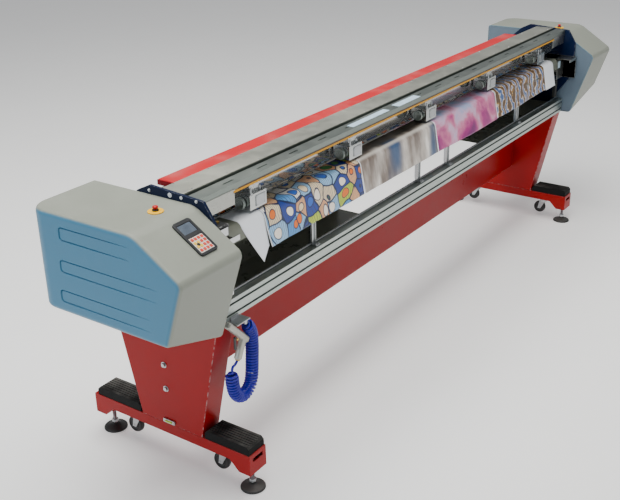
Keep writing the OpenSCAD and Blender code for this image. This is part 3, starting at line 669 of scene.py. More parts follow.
@dataclass
class Studio:
    """The floor, the lights and the camera."""

    eye: Point = (-3.940, -2.285, 2.339)
    yaw: float = 35.095
    pitch: float = -23.957
    roll: float = -1.194
    lens: float = 55.12
    floor_size: float = 60.0

    def build(self) -> None:
        """Makes the camera, the floor and the lights."""
        self.camera()
        self.floor()
        self.lights()

    def camera(self) -> None:
        """Sets the camera at the viewing place."""
        yaw, pitch, roll = (math.radians(a) for a in (self.yaw, self.pitch, self.roll))
        forward = Vector((math.cos(pitch) * math.cos(yaw), math.cos(pitch) * math.sin(yaw),
                          math.sin(pitch)))
        right = forward.cross(Vector((0, 0, 1))).normalized()
        up = right.cross(forward)
        side = right * math.cos(roll) + up * math.sin(roll)
        top = up * math.cos(roll) - right * math.sin(roll)
        turn = Matrix((side, top, -forward)).transposed().to_4x4()
        data = bpy.data.cameras.new("camera")
        data.lens = self.lens
        data.sensor_width = 36.0
        data.clip_end = 200.0
        made = bpy.data.objects.new("camera", data)
        bpy.context.scene.collection.objects.link(made)
        made.matrix_world = Matrix.Translation(Vector(self.eye)) @ turn
        bpy.context.scene.camera = made

    def floor(self) -> None:
        """Lays a plain pale floor and a white world."""
        bm = new_mesh()
        bmesh.ops.create_grid(bm, x_segments=1, y_segments=1, size=self.floor_size / 2)
        mesh = bpy.data.meshes.new("floor")
        bm.to_mesh(mesh)
        bm.free()
        made = bpy.data.objects.new("floor", mesh)
        bpy.context.scene.collection.objects.link(made)
        mesh.materials.append(Finish("studio_floor", "#f7f7f6", 0.9, mottle=0.01, glow=0.22).material())
        world = bpy.data.worlds.new("studio")
        world.use_nodes = True
        sky = world.node_tree.nodes["Background"]
        sky.inputs["Color"].default_value = (0.93, 0.95, 1.0, 1.0)
        sky.inputs["Strength"].default_value = 0.30
        bpy.context.scene.world = world

    def lights(self) -> None:
        """Hangs the soft boxes: a large one above, a cool one at the near end and a fill in front."""
        boxes = (
            ("key", (-1.0, 0.2, 5.8), (0.0, 0.0, 0.9), 5.5, 560.0, (1.0, 0.99, 0.96)),
            ("near_end", (-7.0, 1.2, 2.4), (-2.0, 0.0, 0.9), 2.4, 80.0, (0.72, 0.87, 1.0)),
            ("front_fill", (2.2, -5.5, 2.4), (0.4, 0.0, 0.7), 3.5, 25.0, (1.0, 0.98, 0.96)),
        )
        for name, place, target, size, power, colour in boxes:
            data = bpy.data.lights.new(name, "AREA")
            data.size = size
            data.energy = power
            data.color = colour
            made = bpy.data.objects.new(name, data)
            bpy.context.scene.collection.objects.link(made)
            made.location = place
            made.rotation_euler = (Vector(target) - Vector(place)).to_track_quat("-Z", "Y").to_euler()


# ---------------------------------------------------------------- hoods and controls


@dataclass
class Hood:
    """One end hood: a moulded shell with a sloping operator's face and a grooved end."""

    side: int
    bend_y: float = -0.238
    nose_drop: float = 0.129
    nose_y: float = -0.439
    skirt_y: float = -0.311
    skirt_drop: float = 0.520
    inner_drop: float = 0.489
    outer_drop: float = 0.374
    rim_width: float = 0.0030
    rim_depth: float = 0.0040
    pocket_depth: float = 0.0030
    channel_depth: float = 0.0090
    channel_width: float = 0.0076
    # rear, front, low and high of each groove, the last two as drops from the top
    grooves: tuple = ((0.106, -0.250, 0.043, 0.097), (0.120, -0.372, 0.167, 0.219),
                      (0.136, -0.326, 0.284, 0.336))

    def __post_init__(self) -> None:
        """Reads the hood's place from its CAD node."""
        self.node = "hood_right" if self.side > 0 else "hood_left"
        low, high = corners(self.node)
        self.inner, self.outer = sorted((abs(low.x), abs(high.x)))
        self.back = high.y
        self.top = high.z

    def build(self) -> None:
        """Models the shell and presses the grooves, marked for the painted sky reflection, into its end
        face.
        """
        bm = self.body()
        self.cut_underside(bm)
        self.soften_rims(bm)
        self.recess(bm)
        self.mirrored(bm)
        shell = make_piece(bm, self.node + "_shell", HOOD_SHELL, replaces=[self.node])
        for channel in (False, True):
            cutters = new_mesh()
            for groove in self.grooves:
                self.add_cutter(cutters, groove, channel)
            self.mirrored(cutters)
            bmesh.ops.recalc_face_normals(cutters, faces=cutters.faces)
            # Marks the cutter faces, so the grooves they leave take the painted sky reflection colour.
            pressed = cutters.faces.layers.float.new(GROOVE_REFLECTION_MARK)
            for face in cutters.faces:
                face[pressed] = 1.0
            press(shell, cutters)

    def mirrored(self, bm: bmesh.types.BMesh) -> None:
        """Turns right-hand geometry into left-hand geometry on the left hood."""
        if self.side < 0:
            bmesh.ops.scale(bm, vec=(-1, 1, 1), verts=bm.verts)
            bmesh.ops.reverse_faces(bm, faces=bm.faces)

    def body(self) -> bmesh.types.BMesh:
        """The hood's prism with its long edges and its rear upright corner rounded."""
        bm = new_mesh()
        outline = [(self.back, self.top - self.skirt_drop), (self.back, self.top),
                   (self.bend_y, self.top), (self.nose_y, self.top - self.nose_drop),
                   (self.skirt_y, self.top - self.skirt_drop)]
        add_prism(bm, [(self.inner, y, z) for y, z in outline], (self.outer - self.inner, 0, 0))
        upright = [e for e in bm.edges
                   if all(v.co.x > self.outer - 1e-5 and v.co.y > self.back - 1e-5 for v in e.verts)]
        round_edges(bm, upright, 0.080, 10)
        for (y, z), width, segments in ((outline[2], 0.026, 7), (outline[3], 0.022, 8)):
            long_edges = [e for e in bm.edges
                          if all(abs(v.co.y - y) < 1e-5 and abs(v.co.z - z) < 1e-5 for v in e.verts)]
            round_edges(bm, long_edges, width, segments)
        return bm

    def cut_underside(self, bm: bmesh.types.BMesh) -> None:
        """Cuts the skirt off along its rising underside and closes the cut."""
        rise = Vector((self.outer - self.inner, 0, self.inner_drop - self.outer_drop)).normalized()
        normal = Vector((-rise.z, 0, rise.x))
        made = bmesh.ops.bisect_plane(
            bm, geom=bm.verts[:] + bm.edges[:] + bm.faces[:], dist=1e-6,
            plane_co=(self.inner, 0, self.top - self.inner_drop), plane_no=normal, clear_inner=True)
        rim = [e for e in made["geom_cut"] if isinstance(e, bmesh.types.BMEdge)]
        bmesh.ops.contextual_create(bm, geom=rim)
        bmesh.ops.recalc_face_normals(bm, faces=bm.faces)

    def soften_rims(self, bm: bmesh.types.BMesh) -> None:
        """Rounds every rim but the one against the side frame, which stays tight."""
        rim = [e for e in sharp_edges(bm, 25.0) if max(v.co.x for v in e.verts) > self.inner + 1e-4]
        round_edges(bm, rim, 0.017, 5)
        inner_rim = [e for e in sharp_edges(bm, 30.0)
                     if all(v.co.x < self.inner + 1e-4 for v in e.verts)]
        round_edges(bm, inner_rim, 0.003, 2)

    def recess(self, bm: bmesh.types.BMesh) -> None:
        """Sinks the inner face, where the side panel lies, behind a thin rim."""
        inner = [f for f in bm.faces if all(v.co.x < self.inner + 1e-4 for v in f.verts)]
        bmesh.ops.inset_region(bm, faces=inner, thickness=self.rim_width, depth=-self.rim_depth,
                               use_even_offset=True)

    def add_cutter(self, bm: bmesh.types.BMesh, groove: tuple, channel: bool) -> None:
        """Adds one groove's cutter, tilted so that the groove runs out towards the front.

        Args:
            bm: the cutting mesh.
            groove: its rear, its front, and its low and high drops from the hood's top.
            channel: True for the V channel along its edge, False for the shallow pocket.
        """
        rear, front, low, high = groove
        depth = self.channel_depth if channel else self.pocket_depth

        def ring(inset: float, sunk: bool) -> list:
            """The groove's outline, inset, on the cutter's mouth or sunk to its floor."""
            line = self.outline(rear - inset, front, self.top - high + inset, self.top - low - inset,
                                0.016 - inset)
            return [bm.verts.new((self.outer + (0.0006 - depth * (y - front) / (rear - front)
                                                if sunk else 0.0012), y, z)) for y, z in line]

        width = self.channel_width
        if channel:
            rings = [ring(0.0, False), ring(width / 2, True), ring(width, False)]
            for a, b in zip(rings, rings[1:] + rings[:1]):
                self.bridge(bm, a[:-1], a[1:], b[:-1], b[1:])
            bm.faces.new([line[0] for line in rings])
            bm.faces.new([line[-1] for line in rings])
        else:
            a, b = ring(0.0, False), ring(0.004, True)
            self.bridge(bm, a, a[1:] + a[:1], b, b[1:] + b[:1])
            bm.faces.new(a)
            bm.faces.new(b)

    def bridge(self, bm: bmesh.types.BMesh, *lines: list) -> None:
        """Joins two rows of vertices, each given with its own row of next vertices, by quads."""
        for a, a_next, b, b_next in zip(*lines):
            bm.faces.new((a, a_next, b_next, b))

    def outline(self, rear: float, front: float, low: float, high: float, r: float) -> list:
        """Outline of a groove from its upper front end round the rear to its lower front end."""
        line = [(front, high)]
        for centre_z, start in ((high - r, 90), (low + r, 0)):
            for i in range(7):
                turn = math.radians(start - 15 * i)
                line.append((rear - r + r * math.cos(turn), centre_z + r * math.sin(turn)))
        return [*line, (front, low)]


def press(target: bpy.types.Object, cutters: bmesh.types.BMesh) -> None:
    """Cuts a mesh out of a piece.

    Args:
        target: the piece to cut.
        cutters: the cutting mesh; it is freed.
    """
    mesh = bpy.data.meshes.new("cutter")
    cutters.to_mesh(mesh)
    cutters.free()
    tool = bpy.data.objects.new("cutter", mesh)
    bpy.context.scene.collection.objects.link(tool)
    even = target.modifiers["even_normals"]
    even.show_viewport = False
    cut = target.modifiers.new("cut", "BOOLEAN")
    cut.object = tool
    cut.solver = "EXACT"
    view = bpy.context.evaluated_depsgraph_get()
    bm = new_mesh()
    bm.from_mesh(target.evaluated_get(view).to_mesh())
    target.modifiers.remove(cut)
    even.show_viewport = True
    bpy.data.objects.remove(tool)
    bmesh.ops.remove_doubles(bm, verts=bm.verts, dist=1e-5)
    for face in bm.faces:
        face.smooth = True
        face.material_index = 0
    for edge in bm.edges:
        edge.smooth = True
    for edge in sharp_edges(bm, 38.0):
        edge.smooth = False
    bm.to_mesh(target.data)
    bm.free()


@dataclass
class StopButton:
    """An emergency stop: a yellow plate, a black collar and a red mushroom that travels."""

    side: int

    def build(self) -> None:
        """Spins the plate and collar, and the mushroom that rides on its own body."""
        name = "right" if self.side > 0 else "left"
        low, high = corners("stop_button_" + name)
        mid = Vector(((low.x + high.x) / 2, (low.y + high.y) / 2, 0))
        base = corners("stop_collars")[0].z
        mid.z = base
        bm = new_mesh()
        add_lathe(bm, [(0.0063, 0.0), (0.0275, 0.0), (0.028, 0.0008), (0.028, 0.0028), (0.027, 0.004),
                       (0.013, 0.0044), (0.0063, 0.0044), (0.0063, 0.0)], mid)
        replaced = ["stop_collars"] if self.side > 0 else []
        make_piece(bm, f"stop_plate_{name}", SIGNAL_YELLOW, replaces=replaced)
        bm = new_mesh()
        add_lathe(bm, [(0.0063, 0.0040), (0.0118, 0.0040), (0.0120, 0.0056), (0.0112, 0.0090),
                       (0.0106, 0.0100), (0.0063, 0.0100), (0.0063, 0.0040)], mid)
        make_piece(bm, f"stop_collar_{name}", BLACK_PART)
        bm = new_mesh()
        top = high.z - base
        add_lathe(bm, [(0.0, -0.012), (0.0058, -0.012), (0.0058, 0.0148), (0.0092, 0.0148),
                       (0.0100, 0.0158), (0.0100, 0.0188), (0.0092, 0.0204), (0.0060, top - 0.0004),
                       (0.0, top)], mid)
        make_piece(bm, f"stop_mushroom_{name}", SIGNAL_RED, "stop_button_" + name,
                   ["stop_button_" + name])


@dataclass
class Keypad:
    """The keypad on the left hood's slope: a bezel, a display, sixteen keys and a round key."""

    drop: float = 0.032
    length: float = 0.150
    width: float = 0.085
    pitch: float = 0.0156
    key_half: float = 0.0056
    middle: float = 0.0435
    floor: float = 0.0046

    def frame_of_slope(self) -> Matrix:
        """Local frame: X along the machine, Y up the slope, Z out of the hood."""
        case = corners("keypad_case")
        x = (case[0].x + case[1].x) / 2
        slope = math.atan2(Hood.nose_drop, Hood.bend_y - Hood.nose_y)
        return (Matrix.Translation((x, Hood.bend_y, corners("hood_left")[1].z))
                @ Matrix.Rotation(slope, 4, "X")
                @ Matrix.Translation((0, -self.drop - self.length, 0)))

    def build(self) -> None:
        """Models the bezel, the fields and the keys."""
        place = self.frame_of_slope()
        self.bezel(place)
        half = self.width / 2
        self.plate(place, "keypad_display", DISPLAY, (-half + 0.012, 0.094), (half - 0.012, 0.134))
        self.plate(place, "keypad_field", KEYPAD_FIELD, (-half + 0.010, 0.011), (half - 0.010, 0.076))
        self.keys(place)

    def bezel(self, place: Matrix) -> None:
        """The black case with its rounded corners and two sunk windows."""
        bm = new_mesh()
        half, r = self.width / 2, 0.012
        steps = 8
        outline = []
        for cx, cy, start in ((half - r, r, -90), (half - r, self.length - r, 0),
                              (r - half, self.length - r, 90), (r - half, r, 180)):
            for i in range(steps + 1):
                a = math.radians(start + 90 * i / steps)
                outline.append(place @ Vector((cx + r * math.cos(a), cy + r * math.sin(a), 0.0002)))
        up = place.to_3x3() @ Vector((0, 0, 0.0062))
        add_prism(bm, outline, up)
        bmesh.ops.recalc_face_normals(bm, faces=bm.faces)
        top = max(bm.faces, key=lambda f: f.normal.dot(up) * 10 + f.calc_area())
        bmesh.ops.inset_region(bm, faces=[top], thickness=0.004, depth=-0.0004)
        round_edges(bm, sharp_edges(bm, 60), 0.0012, 2)
        piece = make_piece(bm, "keypad_bezel", KEYPAD_BLACK, replaces=["keypad_case"])
        cutters = new_mesh()
        for low, high in (((-half + 0.010, 0.092, 0.0040), (half - 0.010, 0.136, 0.02)),
                          ((-half + 0.009, 0.010, 0.0040), (half - 0.009, 0.077, 0.02))):
            add_box(cutters, low, high, place)
        press(piece, cutters)

    def plate(self, place: Matrix, name: str, finish: Finish, low: Point, high: Point) -> None:
        """A flat insert in one of the windows."""
        bm = new_mesh()
        add_box(bm, (*low, 0.0038), (*high, self.floor), place)
        round_edges(bm, sharp_edges(bm), 0.0006, 2)
        make_piece(bm, name, finish)

    def keys(self, place: Matrix) -> None:
        """Sixteen keys with sunk tops; the middle group is yellow round a black key."""
        reds, yellows = new_mesh(), new_mesh()
        half = self.key_half
        outward = place.to_3x3() @ Vector((0, 0, 1))
        for i in range(4):
            for j in range(4):
                x = (i - 1.5) * self.pitch
                y = self.middle + (j - 1.5) * self.pitch
                target = yellows if (i, j) in ((0, 1), (0, 2), (1, 1), (1, 2)) else reds
                before = set(target.faces)
                add_box(target, (x - half, y - half, self.floor), (x + half, y + half, 0.0068), place)
                fresh = [f for f in target.faces if f not in before]
                top = max(fresh, key=lambda f: f.calc_center_median().dot(outward))
                bmesh.ops.inset_region(target, faces=[top], thickness=0.0022, depth=-0.0004)
        for bm, name, finish in ((reds, "keys_red", KEY_RED), (yellows, "keys_yellow", KEY_YELLOW)):
            round_edges(bm, sharp_edges(bm, 60), 0.0008, 2)
            replaced = ["keypad_keys"] if name == "keys_red" else []
            make_piece(bm, name, finish, replaces=replaced)
        bm = new_mesh()
        centre = place @ Vector((-self.pitch, self.middle, self.floor))
        add_lathe(bm, [(0.0, 0.0), (0.0062, 0.0), (0.0062, 0.0024), (0.0050, 0.0032), (0.0, 0.0030)],
                  centre, outward, 24)
        make_piece(bm, "key_round", KEY_BLACK)


# ---------------------------------------------------------------- stand


@dataclass
class Stand:
    """The welded stand, its treads, levelling feet, casters, bolts and spirit levels."""

    feet: int = 4
    bolt_y: float = 0.013
    bolt_heights: tuple = (0.345, 0.453)
    # place along Y and radius of each screw at the top of a side frame
    frame_screws: tuple = ((-0.028, 0.006), (-0.125, 0.0085), (-0.177, 0.006), (-0.245, 0.006))
    frame_screw_drop: float = 0.019
    turns: int = 44
    crest: float = 0.008
    root: float = 0.0068
    thread_pitch: float = 0.002

    def build(self) -> None:
        """Dresses and models every piece of the stand."""
        for side in ("left", "right"):
            soften("foot_beam_" + side, RED_COAT, 0.004, segments=3)
            soften("leg_" + side, RED_COAT, 0.006, segments=3)
        soften("stretcher", RED_COAT, 0.006, segments=3)
        self.treads()
        self.bolts()
        self.levels()
        for i in range(1, self.feet + 1):
            self.levelling_foot(i)
            self.caster(i)

    def treads(self) -> None:
        """Ribbed rubber treads: chamfered blocks with ribs that run along the foot."""
        soften("foot_treads", TREAD_RUBBER, 0.0022, angle=30.0)

    def bolts(self) -> None:
        """Hexagon bolts with washers on the legs and domed screws on the side frames."""
        legs = corners("leg_right")
        frame_top = corners("side_frame_right")[1].z
        hood_x = corners("hood_right")[0].x
        steel, white = new_mesh(), new_mesh()
        for side in (-1, 1):
            x, y = side * legs[1].x, self.bolt_y
            for z in self.bolt_heights:
                add_rod(steel, (x, y, z), (x + side * 0.002, y, z), 0.013)
                add_rod(steel, (x + side * 0.002, y, z), (x + side * 0.0085, y, z), 0.0095, 0.0088,
                        segments=6)
            x, z = side * hood_x, frame_top - self.frame_screw_drop
            for y, r in self.frame_screws:
                add_rod(white, (x, y, z), (x + side * 0.0022, y, z), r, segments=24)
                add_rod(white, (x + side * 0.0022, y, z), (x + side * 0.0042, y, z), r, r * 0.55, 24)
        round_edges(steel, sharp_edges(steel, 50), 0.0006, 2)
        make_piece(steel, "leg_bolts", ZINC, replaces=["frame_bolts"])
        make_piece(white, "frame_screws", WHITE_SCREW)

    def levels(self) -> None:
        """A spirit level at the foot of each leg: a block with a bright vial along its outer face."""
        low, high = corners("spirit_levels")
        out = high.x
        body, vial = new_mesh(), new_mesh()
        mid_z = (low.z + high.z) / 2
        for side in (-1, 1):
            xs = sorted((side * (out - 0.009), side * (out - 0.002)))
            add_box(body, (xs[0], low.y, low.z), (xs[1], high.y, high.z))
            face = side * (out - 0.002)
            add_rod(vial, (face, low.y + 0.014, mid_z), (face, high.y - 0.014, mid_z), 0.0042,
                    segments=20)
            for y in (low.y + 0.007, high.y - 0.007):
                add_rod(body, (face, y, mid_z), (face + side * 0.0012, y, mid_z), 0.0028, segments=16)
        round_edges(body, sharp_edges(body, 50), 0.0008, 2)
        make_piece(body, "level_bodies", ZINC, replaces=["spirit_levels"])
        make_piece(vial, "level_vials", VIAL)

    def levelling_foot(self, number: int) -> None:
        """A disc, its neck, a hexagon nut and a threaded screw."""
        node = f"levelling_foot_{number}"
        low, high = corners(node)
        mid = Vector(((low.x + high.x) / 2, (low.y + high.y) / 2, low.z))
        bm = new_mesh()
        add_lathe(bm, [(0.0, 0.0), (0.046, 0.0), (0.050, 0.0015), (0.050, 0.006), (0.047, 0.0095),
                       (0.034, 0.0125), (0.020, 0.0185), (0.0145, 0.024), (0.0145, 0.027),
                       (0.0, 0.027)], mid)
        make_piece(bm, node + "_disc", CAST_BLACK, node, [node])
        bm = new_mesh()
        add_rod(bm, mid + Vector((0, 0, 0.029)), mid + Vector((0, 0, 0.043)), 0.0148, segments=6)
        round_edges(bm, sharp_edges(bm, 40), 0.0012, 2)
        root, start, end = self.root, 0.024, high.z - low.z - 0.001
        profile = [(0.0, start)]
        for i in range(self.turns):
            profile += [(root, start + i * self.thread_pitch),
                        (self.crest, start + (i + 0.5) * self.thread_pitch)]
        profile += [(root, start + self.turns * self.thread_pitch), (root, end), (0.0, end)]
        add_lathe(bm, profile, mid, steps=24)
        make_piece(bm, node + "_screw", ZINC, node)

    def caster(self, number: int) -> None:
        """A swivel fork with a ball race and pressed cheeks, and a rubber-tyred wheel."""
        fork, wheel = f"caster_fork_{number}", f"caster_wheel_{number}"
        soften(fork, ZINC, 0.0008, fork)
        low, high = corners(wheel)
        mid = (low + high) / 2
        r, half = (high.z - low.z) / 2, (high.x - low.x) / 2
        bm = new_mesh()
        side = [(0.0052, 0.001), (0.018, 0.0), (0.020, 0.003), (0.027, 0.003), (0.0285, 0.0),
                (0.0345, 0.0005), (r - 0.0006, 0.005)]
        profile = [(radius, sunk - half) for radius, sunk in side] + [(r, 0.0)]
        profile += [(radius, half - sunk) for radius, sunk in reversed(side)]
        add_lathe(bm, [*profile, profile[0]], mid, (1, 0, 0), 40)
        make_piece(bm, wheel + "_tyre", WHEEL_RUBBER, wheel, [wheel])


# ---------------------------------------------------------------- beams


@dataclass
class Beams:
    """The front rail, the knife beam with its covers, the side frames and the guard bar."""

    post_count: int = 6
    post_inset: float = 0.060
    screws_per_row: int = 18
    bar_lift: float = 0.013
    # first and last X, then first and last Y of each label
    labels: tuple = ((-0.70, -0.40, -0.243, -0.210), (-0.325, -0.125, -0.247, -0.208))

    def build(self) -> None:
        """Dresses and models every piece of the beams."""
        soften("front_beam", RAIL_ALLOY, 0.0012, segments=3)
        for side in ("left", "right"):
            # Side frames in the navy coat, darkened as painted shade.
            soften("side_frame_" + side, NAVY_COAT_AND_SHADE, 0.0016)
        soften("knife_beam", BEAM_ALLOY, 0.0012)
        soften("beam_covers", COVER_ALLOY, 0.0010)
        soften("yellow_strip", YELLOW_COAT, 0.0008)
        soften("clear_guard", CLEAR, 0.0006)
        soften("cutter_rail", STEEL, 0.0010)
        soften("cross_blade", BLADE_MIRROR, 0.0004, "cross_blade")
        soften("fixed_blade", STEEL, 0.0006)
        dress("feed_roller", GRIP_RUBBER)
        dress("pinch_roller", GRIP_RUBBER)
        soften("output_guide", DARK_SHEET, 0.0004, angle=60)
        soften("scrap_tray", DARK_SHEET, 0.0005)
        soften("guide_brackets", ZINC, 0.0010)
        soften("drive_unit", BLACK_PART, 0.0012)
        soften("hood_panels", PANEL_GREY, 0.0008)
        self.guard_bar()
        self.rail_details()
        self.cover_screws()
        self.front_edge()

    def guard_bar(self) -> None:
        """The red bar on its posts, with end caps in a darker red that paints the shade on its end faces.
        """
        low, high = corners("rear_guard_bar")
        bar_low = low.z + self.bar_lift
        bm = new_mesh()
        add_box(bm, (low.x + 0.004, low.y, bar_low), (high.x - 0.004, high.y, high.z))
        round_edges(bm, sharp_edges(bm), 0.005, 3)
        make_piece(bm, "guard_bar", BAR_RED, replaces=["rear_guard_bar"])
        # Painted shade: end caps in the darker copy of the bar's red.
        caps = new_mesh()
        for x0, x1 in ((low.x, low.x + 0.005), (high.x - 0.005, high.x)):
            add_box(caps, (x0, low.y + 0.001, bar_low + 0.001), (x1, high.y - 0.001, high.z - 0.001))
        round_edges(caps, sharp_edges(caps), 0.0015, 2)
        make_piece(caps, "guard_bar_caps", BAR_END_SHADE)
        posts = new_mesh()
        first, last = low.x + self.post_inset, high.x - self.post_inset
        mid_y = (low.y + high.y) / 2
        for i in range(self.post_count):
            x = first + i * (last - first) / (self.post_count - 1)
            add_rod(posts, (x, mid_y, low.z), (x, mid_y, bar_low + 0.0005), 0.008, segments=24)
            add_rod(posts, (x, mid_y, low.z), (x, mid_y, low.z + 0.003), 0.0125, segments=24)
        round_edges(posts, sharp_edges(posts, 50), 0.0006, 2)
        make_piece(posts, "guard_bar_posts", ZINC)

    def rail_details(self) -> None:
        """A bright round rod along the rail's inner top edge."""
        low, high = corners("front_beam")
        bm = new_mesh()
        r = 0.0055
        y, z = high.y - 0.003, high.z + r
        add_rod(bm, (low.x + 0.002, y, z), (high.x - 0.002, y, z), r, segments=20)
        make_piece(bm, "rail_rod", STEEL)

    def cover_screws(self) -> None:
        """Small countersunk screws along the cover plates, and a dark box of painted shade down in the
        long gap.
        """
        low, high = corners("beam_covers")
        bm = new_mesh()
        for i in range(self.screws_per_row):
            x = low.x + 0.06 + i * (high.x - low.x - 0.12) / (self.screws_per_row - 1)
            for y in (low.y + 0.010, high.y - 0.010):
                add_rod(bm, (x, y, high.z - 0.0005), (x, y, high.z + 0.0012), 0.0042, 0.0032, 16)
        make_piece(bm, "cover_screws", ZINC)
        # Painted shade: a dark box down in the gap beside the cover plates.
        beam = corners("knife_beam")
        bm = new_mesh()
        add_box(bm, (beam[0].x + 0.001, low.y - 0.0175, high.z - 0.0235),
                (beam[1].x - 0.001, low.y - 0.0015, high.z - 0.0205))
        make_piece(bm, "gap_painted_shade", SLOT_SHADE_PAINT)

    def front_edge(self) -> None:
        """What sits on the beam's front part: a line of painted shadow on the yellow strip, end plates and
        two blank labels.
        """
        low, high = corners("yellow_strip")
        beam_low, beam_high = corners("knife_beam")
        guard_low, guard_high = corners("clear_guard")
        bm = new_mesh()
        # Painted shadow: a thin dark box just above the yellow strip.
        add_box(bm, (low.x + 0.03, low.y + 0.0008, high.z + 0.0004), (high.x, high.y, high.z + 0.0036))
        make_piece(bm, "strip_shadow_line", STRIP_SHADOW_PAINT)
        bm = new_mesh()
        front, top = beam_low.y, guard_high.z + 0.001
        for x0, x1 in ((beam_low.x + 0.006, guard_low.x - 0.002),
                       (guard_high.x + 0.002, beam_high.x - 0.006)):
            add_box(bm, (x0, front + 0.0005, guard_low.z + 0.012), (x1, front + 0.004, top))
            add_box(bm, (x0, front - 0.002, top), (x1, front + 0.001, top + 0.013))
        round_edges(bm, sharp_edges(bm), 0.0008, 2)
        make_piece(bm, "beam_end_plates", STAINLESS)
        bm = new_mesh()
        for x0, x1, y0, y1 in self.labels:
            add_box(bm, (x0, y0, beam_high.z - 0.0002), (x1, y1, beam_high.z + 0.0006))
        make_piece(bm, "blank_labels", LABEL_BLUE)


# ---------------------------------------------------------------- cutting line


@dataclass
class CutterHeads:
    """Five slitting heads that slide on the rail, each with a dished knob and a wheel."""

    count: int = 5
    width: float = 0.100
    height: float = 0.060
    knob_up: float = 0.026
    knob_r: float = 0.024

    def build(self) -> None:
        """Models each head on its own body."""
        for number in range(1, self.count + 1):
            self.head(number)
            soften(f"cutter_wheel_{number}", STEEL, 0.0003, f"cutter_wheel_{number}")

    def head(self, number: int) -> None:
        """A polished block on its neck, with a dished knob, a rod and a cover plate."""
        node = f"cutter_head_{number}"
        low, high = corners(node)
        x = high.x - self.width
        bm = cad_copy(node)
        extra = [v for v in bm.verts if v.co.x < x - 1e-5]
        bmesh.ops.delete(bm, geom=extra, context="VERTS")
        bmesh.ops.holes_fill(bm, edges=[e for e in bm.edges if e.is_boundary], sides=0)
        round_edges(bm, sharp_edges(bm, 50), 0.0016, 2)
        make_piece(bm, node + "_block", POLISHED, node, [node])
        self.knob(node, (x, (low.y + high.y) / 2, low.z + self.knob_up), x - low.x)
        self.fittings(node, x, low)

    def knob(self, node: str, start: Point, length: float) -> None:
        """The round knob: a hub, a rim and a dished face with a shallow ring."""
        r = self.knob_r
        bm = new_mesh()
        add_lathe(bm, [(0.0, 0.0), (0.010, 0.0), (0.010, 0.004), (r - 0.0015, 0.0045), (r, 0.006),
                       (r, length - 0.0025), (r - 0.0012, length - 0.0005), (r - 0.0030, length - 0.0003),
                       (r - 0.0044, length - 0.0035), (0.0105, length - 0.0050), (0.0098, length - 0.0040),
                       (0.0080, length - 0.0040), (0.0072, length - 0.0052), (0.0, length - 0.0052)],
                  start, (-1, 0, 0), 40)
        make_piece(bm, node + "_knob", KNOB_GREY, node)

    def fittings(self, node: str, x: float, low: Vector) -> None:
        """A rod at the front corner, a cover plate with screws and a clamp lever on top."""
        bm = new_mesh()
        y, top = low.y, low.z + self.height
        add_rod(bm, (x + 0.010, y + 0.004, top - 0.002), (x + 0.010, y + 0.004, top + 0.026), 0.0042,
                segments=20)
        add_box(bm, (x + 0.006, y + 0.001, top - 0.001), (x + 0.020, y + 0.052, top + 0.004))
        add_box(bm, (x + 0.034, y - 0.003, low.z + 0.008), (x + 0.090, y + 0.001, low.z + 0.050))
        for dx in (0.040, 0.084):
            for dz in (0.014, 0.044):
                add_rod(bm, (x + dx, y - 0.003, low.z + dz), (x + dx, y - 0.0046, low.z + dz), 0.003,
                        segments=14)
        add_rod(bm, (x + 0.082, y + 0.020, top - 0.001), (x + 0.082, y + 0.020, top + 0.014), 0.0075,
                segments=6)
        round_edges(bm, sharp_edges(bm, 50), 0.0007, 2)
        make_piece(bm, node + "_fittings", ZINC, node)


@dataclass
class GuideSupports:
    """What is on the upright brackets under the guide: two bright ribs and two screws on each."""

    half: float = 0.015
    # places along the machine, as shares of the way from the middle to a hood
    spots: tuple = (-0.59, -0.065, 0.112, 0.62)
    screw_y: float = -0.256

    def build(self) -> None:
        """Adds the ribs and the foot screws."""
        bracket_top = corners("guide_brackets")[1].z
        hood_x = corners("hood_right")[0].x
        rail_top = corners("front_beam")[1].z
        ribs, screws = new_mesh(), new_mesh()
        for spot in self.spots:
            for side in (-1, 1):
                x = spot * hood_x + side * (self.half - 0.0025)
                add_box(ribs, (x - 0.0025, -0.2435, rail_top + 0.004),
                        (x + 0.0025, -0.2375, bracket_top - 0.052))
                x = spot * hood_x + side * 0.008
                add_rod(screws, (x, self.screw_y, rail_top + 0.006), (x, self.screw_y, rail_top + 0.010),
                        0.0042, segments=6)
        round_edges(ribs, sharp_edges(ribs, 50), 0.0010, 2)
        round_edges(screws, sharp_edges(screws, 50), 0.0005, 2)
        make_piece(ribs, "bracket_ribs", STEEL)
        make_piece(screws, "bracket_screws", ZINC)


